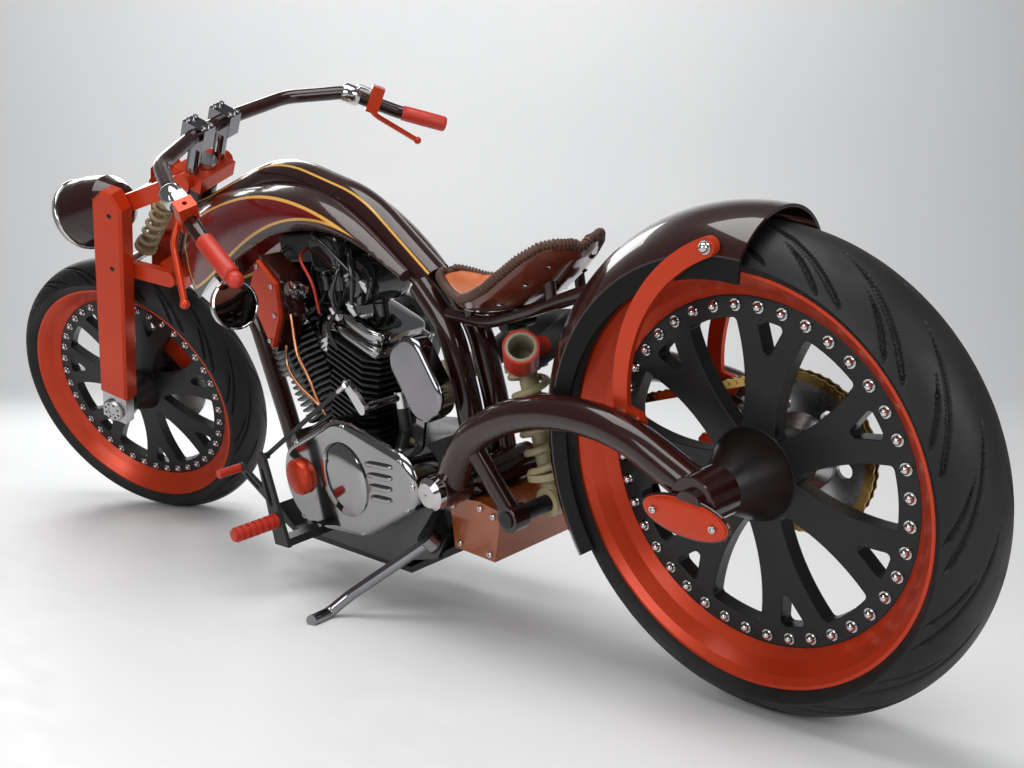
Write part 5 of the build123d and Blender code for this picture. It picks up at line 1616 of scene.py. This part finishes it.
@dataclass
class FrontEndDress:
    """Trim of the girder fork, lamp and wheel axle."""

    blade_face: float = 128.0
    axle_face: float = 130.0
    hole_ring: float = 20.0
    hole_count: int = 8
    hole_out: float = 1.4
    pivots: tuple[tuple[float, float], ...] = ((1682.0, 862.0), (1746.0, 738.0))
    lamp_face: Point = (1900.0, 0.0, 846.0)
    lamp_r: float = 84.0
    lamp_tilt: float = math.radians(8.0)
    rim_back: float = 4.0
    rim_r: float = 4.5

    AXLE_NUT = [(30, -7), (30, -1), (27, 2), (12, 2), (11, -1)]
    HOLE = [(3.4, 0.0), (3.4, 1.0), (0.4, 1.0)]

    def lamp_rim(self) -> Shell:
        """A round section carried round the lamp's face: face + R (left cos u + up sin u).

        Returns:
            The rim.
        """
        u = np.linspace(0, FULL_TURN, 72, endpoint=False)[:, None]
        turn = about_y(self.lamp_tilt)
        ahead, up = turn[:, 0], turn[:, 2]
        rim = np.array(self.lamp_face) - self.rim_back * ahead
        rim = rim + self.lamp_r * (np.cos(u) * LEFT + np.sin(u) * up)
        return swept(rim, self.rim_r, 12, tuple(ahead), True)

    def build(self, bench: Bench) -> None:
        """Makes blade screws, axle nuts with their holes and the lamp's rim.

        Args:
            bench: where pieces are made.
        """
        spots = np.vstack([on_side(self.pivots, s * self.blade_face) for s in SIDES])
        bench.front_piece("blade_screws", bolts(spots, np.sign(spots) * LEFT, RIVET, 1.1), "black_satin")
        ring = on_circle(self.hole_ring, np.arange(self.hole_count) * FULL_TURN / self.hole_count)
        nuts, holes = [], []
        for s in SIDES:
            at = np.array([WHEELBASE, s * self.axle_face, TYRE_R])
            nuts.append(lathe(self.AXLE_NUT, 40).moved(facing(s * LEFT)[0], at))
            holes.append(bolts(at + on_side(ring, s * self.hole_out), s * LEFT, self.HOLE))
        bench.front_piece("axle_nuts", joined(nuts), "bare_steel")
        bench.front_piece("axle_nut_holes", joined(holes), "black_satin")
        bench.front_piece("lamp_rim", self.lamp_rim(), "chrome")


@dataclass
class ControlsDress:
    """Mirror, switches, brake reservoirs, grips and riser screws of the handlebar."""

    seat: Point = (1406.8, 0.0, 985.4)
    riser_y: float = 48.0
    cap_half: float = 26.0
    screw_apart: tuple[float, float] = (20.0, 12.0)
    mirror: Point = (1120.0, 446.0, 733.0)
    mirror_way: Point = (-1.0, 0.35, 0.1)
    ball_r: float = 17.0
    ball_out: float = 18.2

    # Points of the bar's left half, from the seat
    BEND = (-137.0, 333.0, -49.0)
    GRIP_START = (-223.0, 389.0, -130.0)
    GRIP_END = (-304.0, 441.0, -193.0)
    HOUSING = [(19, -22), (23, -17), (23, 17), (19, 22)]
    MIRROR_SHELL = [(20, -16), (36, -13), (47, -4), (48, 3), (48, 8), (44.5, 8.6), (43.6, 7.6)]
    MIRROR_FACE = [(43.8, 7.2), (43.8, 7.9), (30, 8.1), (2, 8.2)]

    def along_bar(self, start: Point, end: Point, side: float) -> tuple[np.ndarray, np.ndarray, np.ndarray]:
        """A straight run of the bar on one side.

        Args:
            start: its inner point, from the seat.
            end: its outer point, from the seat.
            side: 1 on the left and -1 on the right.

        Returns:
            Both points and the unit direction between them.
        """
        first, last = (np.array(self.seat) + np.array(p) * [1.0, side, 1.0] for p in (start, end))
        return first, last, (last - first) / np.linalg.norm(last - first)

    def build(self, bench: Bench) -> None:
        """Makes the pieces that turn with the bar.

        Args:
            bench: where pieces are made.
        """
        ahead, apart = self.screw_apart
        spots = [np.array(self.seat) + LEFT * (s * self.riser_y + t * apart) + STEER_UP * self.cap_half
                 + STEER_AHEAD * f * ahead for s in SIDES for t in SIDES for f in SIDES]
        bench.front_piece("riser_screws", bolts(np.array(spots), STEER_UP, CAP_SCREW), "chrome")
        housings, reservoirs = [], []
        for s in SIDES:
            start, _, way = self.along_bar(self.BEND, self.GRIP_START, s)
            housings.append(lathe(self.HOUSING, 28).moved(facing(way)[0], start + way * 14))
            top = np.array([0.0, 0.0, 1.0]) - way * way[2]
            top /= np.linalg.norm(top)
            across = np.cross(top, way)
            turn = np.stack([way, across, top], -1)
            place = start + way * 44 + top * 19 + across * 4
            reservoirs.append(rounded_block((46, 34, 22), 5.0).moved(turn, place))
        bench.front_piece("switch_housings", joined(housings), "chrome")
        bench.front_piece("brake_reservoirs", joined(reservoirs), "chrome")
        self.grips(bench)
        turn = facing(self.mirror_way)[0]
        bench.front_piece("mirror_shell", lathe(self.MIRROR_SHELL, 48).moved(turn, self.mirror), "chrome")
        glass = lathe(self.MIRROR_FACE, 48).moved(turn, self.mirror)
        bench.front_piece("mirror_face", glass, "mirror_glass", "lamp_glass")

    def grips(self, bench: Bench) -> None:
        """Makes both hand grips turned about the bar, the ball on the left end and the mirror's short stem.

        Args:
            bench: where pieces are made.
        """
        shells = []
        for s in SIDES:
            start, end, way = self.along_bar(self.GRIP_START, self.GRIP_END, s)
            long = np.linalg.norm(end - start)
            grip = lathe([(16.2, 12), (18.4, 12.6), (18.4, 17), (17.4, 19), (18.2, 24), (18.5, long * 0.6),
                          (18.4, long), (17.0, long + 4.5), (13.0, long + 7.4), (4.0, long + 8)], 32)
            shells.append(grip.moved(facing(way)[0], start))
        # The loop ends on the left side, where the ball and the mirror are
        ball_at = end + way * self.ball_out
        ball = lathe(on_circle(self.ball_r, np.linspace(-1.5, 1.5, 13)), 28).moved(facing(way)[0], ball_at)
        bench.front_piece("hand_grips", joined([*shells, ball]), "red_rubber", replaces=("grips",))
        top = np.array(self.mirror) + [4.0, 0.0, 44.0]
        stem = swept(smooth_path([ball_at, ball_at + [16, -1, -1], top], 14), 5.4, 14)
        bench.front_piece("mirror_stem", stem, "chrome")


@dataclass
class RearTrim:
    """The left swing arm, the bolts of struts, axle cover and oil box, and the cover's dark edge."""

    strut_left: float = 103.0
    strut_right: float = -126.0
    cover_at: tuple[float, float] = (10.0, 345.0)
    cover_half: tuple[float, float] = (74.0, 28.0)
    cover_tilt: float = math.radians(7.0)
    cover_face: float = 160.0
    cover_screw: float = 52.0
    edge_r: float = 3.0
    plate_in: float = 2.0
    oil_face: float = 92.0
    arm_y: float = 122.0
    arm_r: float = 28.0
    stay_r: float = 17.0

    STRUT_BOLTS = ((-28.0, 707.0), (160.0, 463.0), (134.0, 454.0))
    ARM_CORNERS = ((577.0, 299.0), (508.0, 398.0), (322.0, 474.0), (140.0, 446.0), (0.0, TYRE_R))
    ARM_EASE = (59.0, 125.0, 56.0)
    STAY = ((502.0, 122.0, 392.0), (480.0, 109.0, 332.0), (446.0, 96.0, 256.0))
    AXLE_BLOCK = [(36.5, -30), (38, -28.5), (38, 28.5), (36.5, 30)]
    PIVOT_EYE = [(31, -30), (32, -29), (32, 29), (31, 30)]
    KNUCKLE = [(23, -17), (24, -16), (24, 16), (23, 17)]
    # Radius as a share of the plate's half length and half height
    PLATE = [(0.98, 0.0), (0.98, 1.4), (0.9, 2.6), (0.5, 3.6), (0.04, 3.8)]
    END_CAP = [(20.8, -16.0), (20.8, 0.4), (18.0, 1.4), (1.0, 1.6)]
    OIL_SCREWS = ((612, 252), (608, 180), (536, 256), (504, 246), (528, 172))

    def left_arm(self, bench: Bench) -> None:
        """Makes the left swing arm: a tube with eased bends, its axle block, pivot eye and shock stay.

        Args:
            bench: where pieces are made.
        """
        corners = on_side(self.ARM_CORNERS, self.arm_y)
        arm = [swept(bent_path(corners, self.ARM_EASE), self.arm_r, 40, (0, 1, 0)),
               lathe(self.AXLE_BLOCK, 56).at(*corners[-1]), lathe(self.PIVOT_EYE, 48).at(*corners[0]),
               swept(smooth_path(self.STAY, 24), self.stay_r, 28, (0, 1, 0)),
               lathe(self.KNUCKLE, 40).at(*self.STAY[-1])]
        bench.piece("swing_arm_left", joined(arm), "brown_paint", replaces=("swingarm_left",))

    def axle_cover(self, bench: Bench) -> None:
        """Makes the oval axle cover's edge, screws, plate and end cap.

        The outline is (a cos u, b sin u), tilted in side view.

        Args:
            bench: where pieces are made.
        """
        x, z = self.cover_at
        turn = about_y(-self.cover_tilt)
        a, b = self.cover_half
        oval = on_circle(1.0, np.linspace(0, FULL_TURN, 96, endpoint=False)) * [a, b]
        path = on_side(oval, self.cover_face - self.edge_r) @ turn.T + [x, 0.0, z]
        bench.piece("axle_cover_edge", swept(path, self.edge_r, 8, (0, 1, 0), True), "brown_paint")
        ends = np.array([turn[:, 0] * k * self.cover_screw for k in SIDES]) + [x, self.cover_face + 2.6, z]
        bench.piece("axle_cover_screws", bolts(ends, LEFT, CAP_SCREW, 0.9), "chrome")
        stretch = turn @ np.diag([a - self.plate_in, 1.0, b - self.plate_in])
        plate = lathe(self.PLATE, 72).moved(stretch, (x, self.cover_face, z))
        bench.piece("axle_plate", plate, "red_paint")
        bench.piece("axle_end_cap", lathe(self.END_CAP, 40).at(0.0, self.cover_face, TYRE_R), "brown_paint")

    def build(self, bench: Bench) -> None:
        """Makes the arm, the bolts and the axle cover.

        Args:
            bench: where pieces are made.
        """
        self.left_arm(bench)
        spots = np.vstack([on_side(self.STRUT_BOLTS, y) for y in (self.strut_left, self.strut_right)])
        bench.piece("strut_bolts", bolts(spots, np.sign(spots) * LEFT, ACORN_NUT, 1.1), "chrome")
        self.axle_cover(bench)
        screws = bolts(on_side(self.OIL_SCREWS, self.oil_face), LEFT, CAP_SCREW, 0.9)
        bench.piece("oil_box_screws", screws, "chrome")


class Studio:
    """Floor, lights and camera."""

    EYE = (-1022.0, 1318.0, 893.0)
    RIGHT = (-0.667, -0.733, -0.136)
    DOWN = (-0.067, 0.2405, -0.968)
    FOCAL_PX = 1184.96
    IMAGE_WIDE = 1024.0
    SENSOR = 36.0
    CLIP_END = 100.0
    # Name, place, aim, size and power of each lamp
    LAMPS = (
        ("top_softbox", (-0.4, 0.6, 3.6), (0.0, 0.0, 0.4), (3.2, 2.2), 95.0),
        ("left_softbox", (-1.2, 3.4, 1.7), (0.0, 0.0, 0.5), (2.6, 1.6), 55.0),
        ("rear_softbox", (-3.6, 0.2, 1.6), (0.0, 0.0, 0.5), (1.6, 1.8), 40.0),
        ("wall_light", (1.9, -1.6, 3.6), (4.1, -3.5, 1.2), (6.0, 1.2), 84.0),
        ("front_softbox", (3.2, -0.8, 2.2), (0.2, 0.0, 0.5), (1.8, 1.8), 45.0),
    )
    AIR_COLOUR = (0.92, 0.95, 1.0, 1.0)
    AIR_STRENGTH = 0.16
    FLOOR = Finish("studio_floor", (0.8, 0.8, 0.8), (0.74, 0.745, 0.75), (0.45, 0.6), tone_scale=0.8)
    FLOOR_AHEAD = np.array([0.759, -0.651])
    FLOOR_ACROSS = np.array([0.651, 0.759])
    FLOOR_FRONT = -9.0
    FLOOR_BACK = 3.6
    FLOOR_HALF = 12.0
    FLOOR_DROP = 0.0006
    COVE_R = 1.6
    WALL_TALL = 6.0

    def __init__(self, stance: Stance, groups: Groups) -> None:
        """Keeps the stance and the shared shader groups."""
        self.stance = stance
        self.groups = groups

    def camera(self) -> None:
        """Sets the camera at the photographed view, from axes solved in the upright drawing."""
        right = self.stance.turn @ np.array(self.RIGHT)
        down = self.stance.turn @ np.array(self.DOWN)
        right /= np.linalg.norm(right)
        down -= right * (down @ right)
        down /= np.linalg.norm(down)
        ahead = np.cross(right, down)
        data = bpy.data.cameras.new("view")
        data.sensor_width = self.SENSOR
        data.lens = self.FOCAL_PX / self.IMAGE_WIDE * self.SENSOR
        data.clip_end = self.CLIP_END
        cam = bpy.data.objects.new("view", data)
        turn = Matrix([[right[i], -down[i], -ahead[i]] for i in range(3)]).to_4x4()
        cam.matrix_world = Matrix.Translation(Vector(self.stance.place(np.array(self.EYE)))) @ turn
        bpy.context.scene.collection.objects.link(cam)
        bpy.context.scene.camera = cam

    def lamp(self, name: str, at: Point, aim: Point, size: tuple[float, float], power: float) -> None:
        """A soft area light that looks at a point.

        Args:
            name: the lamp's name.
            at: its place in metres.
            aim: the point that it looks at.
            size: its two sides.
            power: its power in watts.
        """
        data = bpy.data.lights.new(name, "AREA")
        data.shape = "RECTANGLE"
        data.size, data.size_y = size
        data.energy = power
        obj = bpy.data.objects.new(name, data)
        obj.location = at
        obj.rotation_euler = (Vector(aim) - Vector(at)).to_track_quat("-Z", "Y").to_euler()
        bpy.context.scene.collection.objects.link(obj)

    def floor(self) -> None:
        """A pale floor that curves up into a back wall: a profile in one direction, straight in the other."""
        t = np.linspace(0, math.pi / 2, 14)
        back, radius = self.FLOOR_BACK, self.COVE_R
        cove = np.stack([back + radius * np.sin(t), radius - radius * np.cos(t)], -1)
        profile = np.vstack([[[self.FLOOR_FRONT, 0.0]], cove, [[back + radius, self.WALL_TALL]]])
        wide = self.FLOOR_HALF * np.array(SIDES)
        flat = profile[:, None, :1] * self.FLOOR_AHEAD + wide[None, :, None] * self.FLOOR_ACROSS
        grid = np.concatenate([flat, np.broadcast_to(profile[:, None, 1:], (len(profile), 2, 1))], -1)
        mesh = bpy.data.meshes.new("studio_floor")
        shell = grid_shell(grid).at(0, 0, -self.FLOOR_DROP)
        mesh.from_pydata(shell.points, [], [r for f in shell.faces for r in f.tolist()])
        mesh.shade_smooth()
        obj = bpy.data.objects.new("studio_floor", mesh)
        bpy.context.scene.collection.objects.link(obj)
        mesh.materials.append(self.FLOOR.start(self.groups, self.FLOOR.name).material)

    def build(self) -> None:
        """Sets camera, floor, lamps and a plain world."""
        self.camera()
        self.floor()
        for row in self.LAMPS:
            self.lamp(*row)
        world = bpy.data.worlds.new("studio_air")
        world.use_nodes = True
        air = world.node_tree.nodes["Background"]
        air.inputs["Color"].default_value = self.AIR_COLOUR
        air.inputs["Strength"].default_value = self.AIR_STRENGTH
        bpy.context.scene.world = world
        bpy.context.scene.view_settings.view_transform = "Standard"


# CAD nodes whose finish isn't the one of their slot
NODE_FINISH = {
    "tank_left": "tank_paint", "tank_right": "tank_paint", "frame_backbone": "spine_paint",
    "rear_spokes": "spoke_black", "front_spokes": "spoke_black", "rear_fender": "fender_paint",
    "filter_cover": "dark_chrome", "side_stand": "dark_chrome", "risers": "dark_chrome",
    "primary_cover": "cover_chrome", "cam_cover": "cover_chrome", "exhaust_pipes": "wrapped_pipe",
    "foot_controls": "foot_paint", "swingarm_right": "caliper_arm",
}


def dress_nodes(frame: dict, paint: Paintbox) -> None:
    """Gives every CAD node the finish of its slot, or its own special one.

    Args:
        frame: the loaded frame with its nodes and record.
        paint: the finishes.
    """
    slots = {row["node"]: row["material_slot"] for row in frame["record"]["subparts"]}
    for name, obj in frame["nodes"].items():
        obj.data.materials.clear()
        obj.data.materials.append(paint[NODE_FINISH.get(name, slots[name])])


def main() -> None:
    """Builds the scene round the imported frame."""
    logging.basicConfig(level=logging.INFO, format="%(message)s")
    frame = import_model()
    stance = Stance.from_joints(frame["joints"])
    paint = Paintbox(stance)
    bench = Bench(stance, paint)
    dress_nodes(frame, paint)
    WheelDress("rear", "rear_wheel", Frame.CHASSIS, (0.0, 0.0, TYRE_R), 90.0, 62.0).build(bench)
    WheelDress("front", "front_wheel", Frame.STEERING, (WHEELBASE, 0.0, TYRE_R), 80.0, 55.0).build(bench)
    for dress in (ChainDress(), SaddleDress(), EngineDress(), FrontEndDress(), ControlsDress(), RearTrim()):
        dress.build(bench)
    Studio(stance, paint.groups).build()


if __name__ == "__main__":
    main()
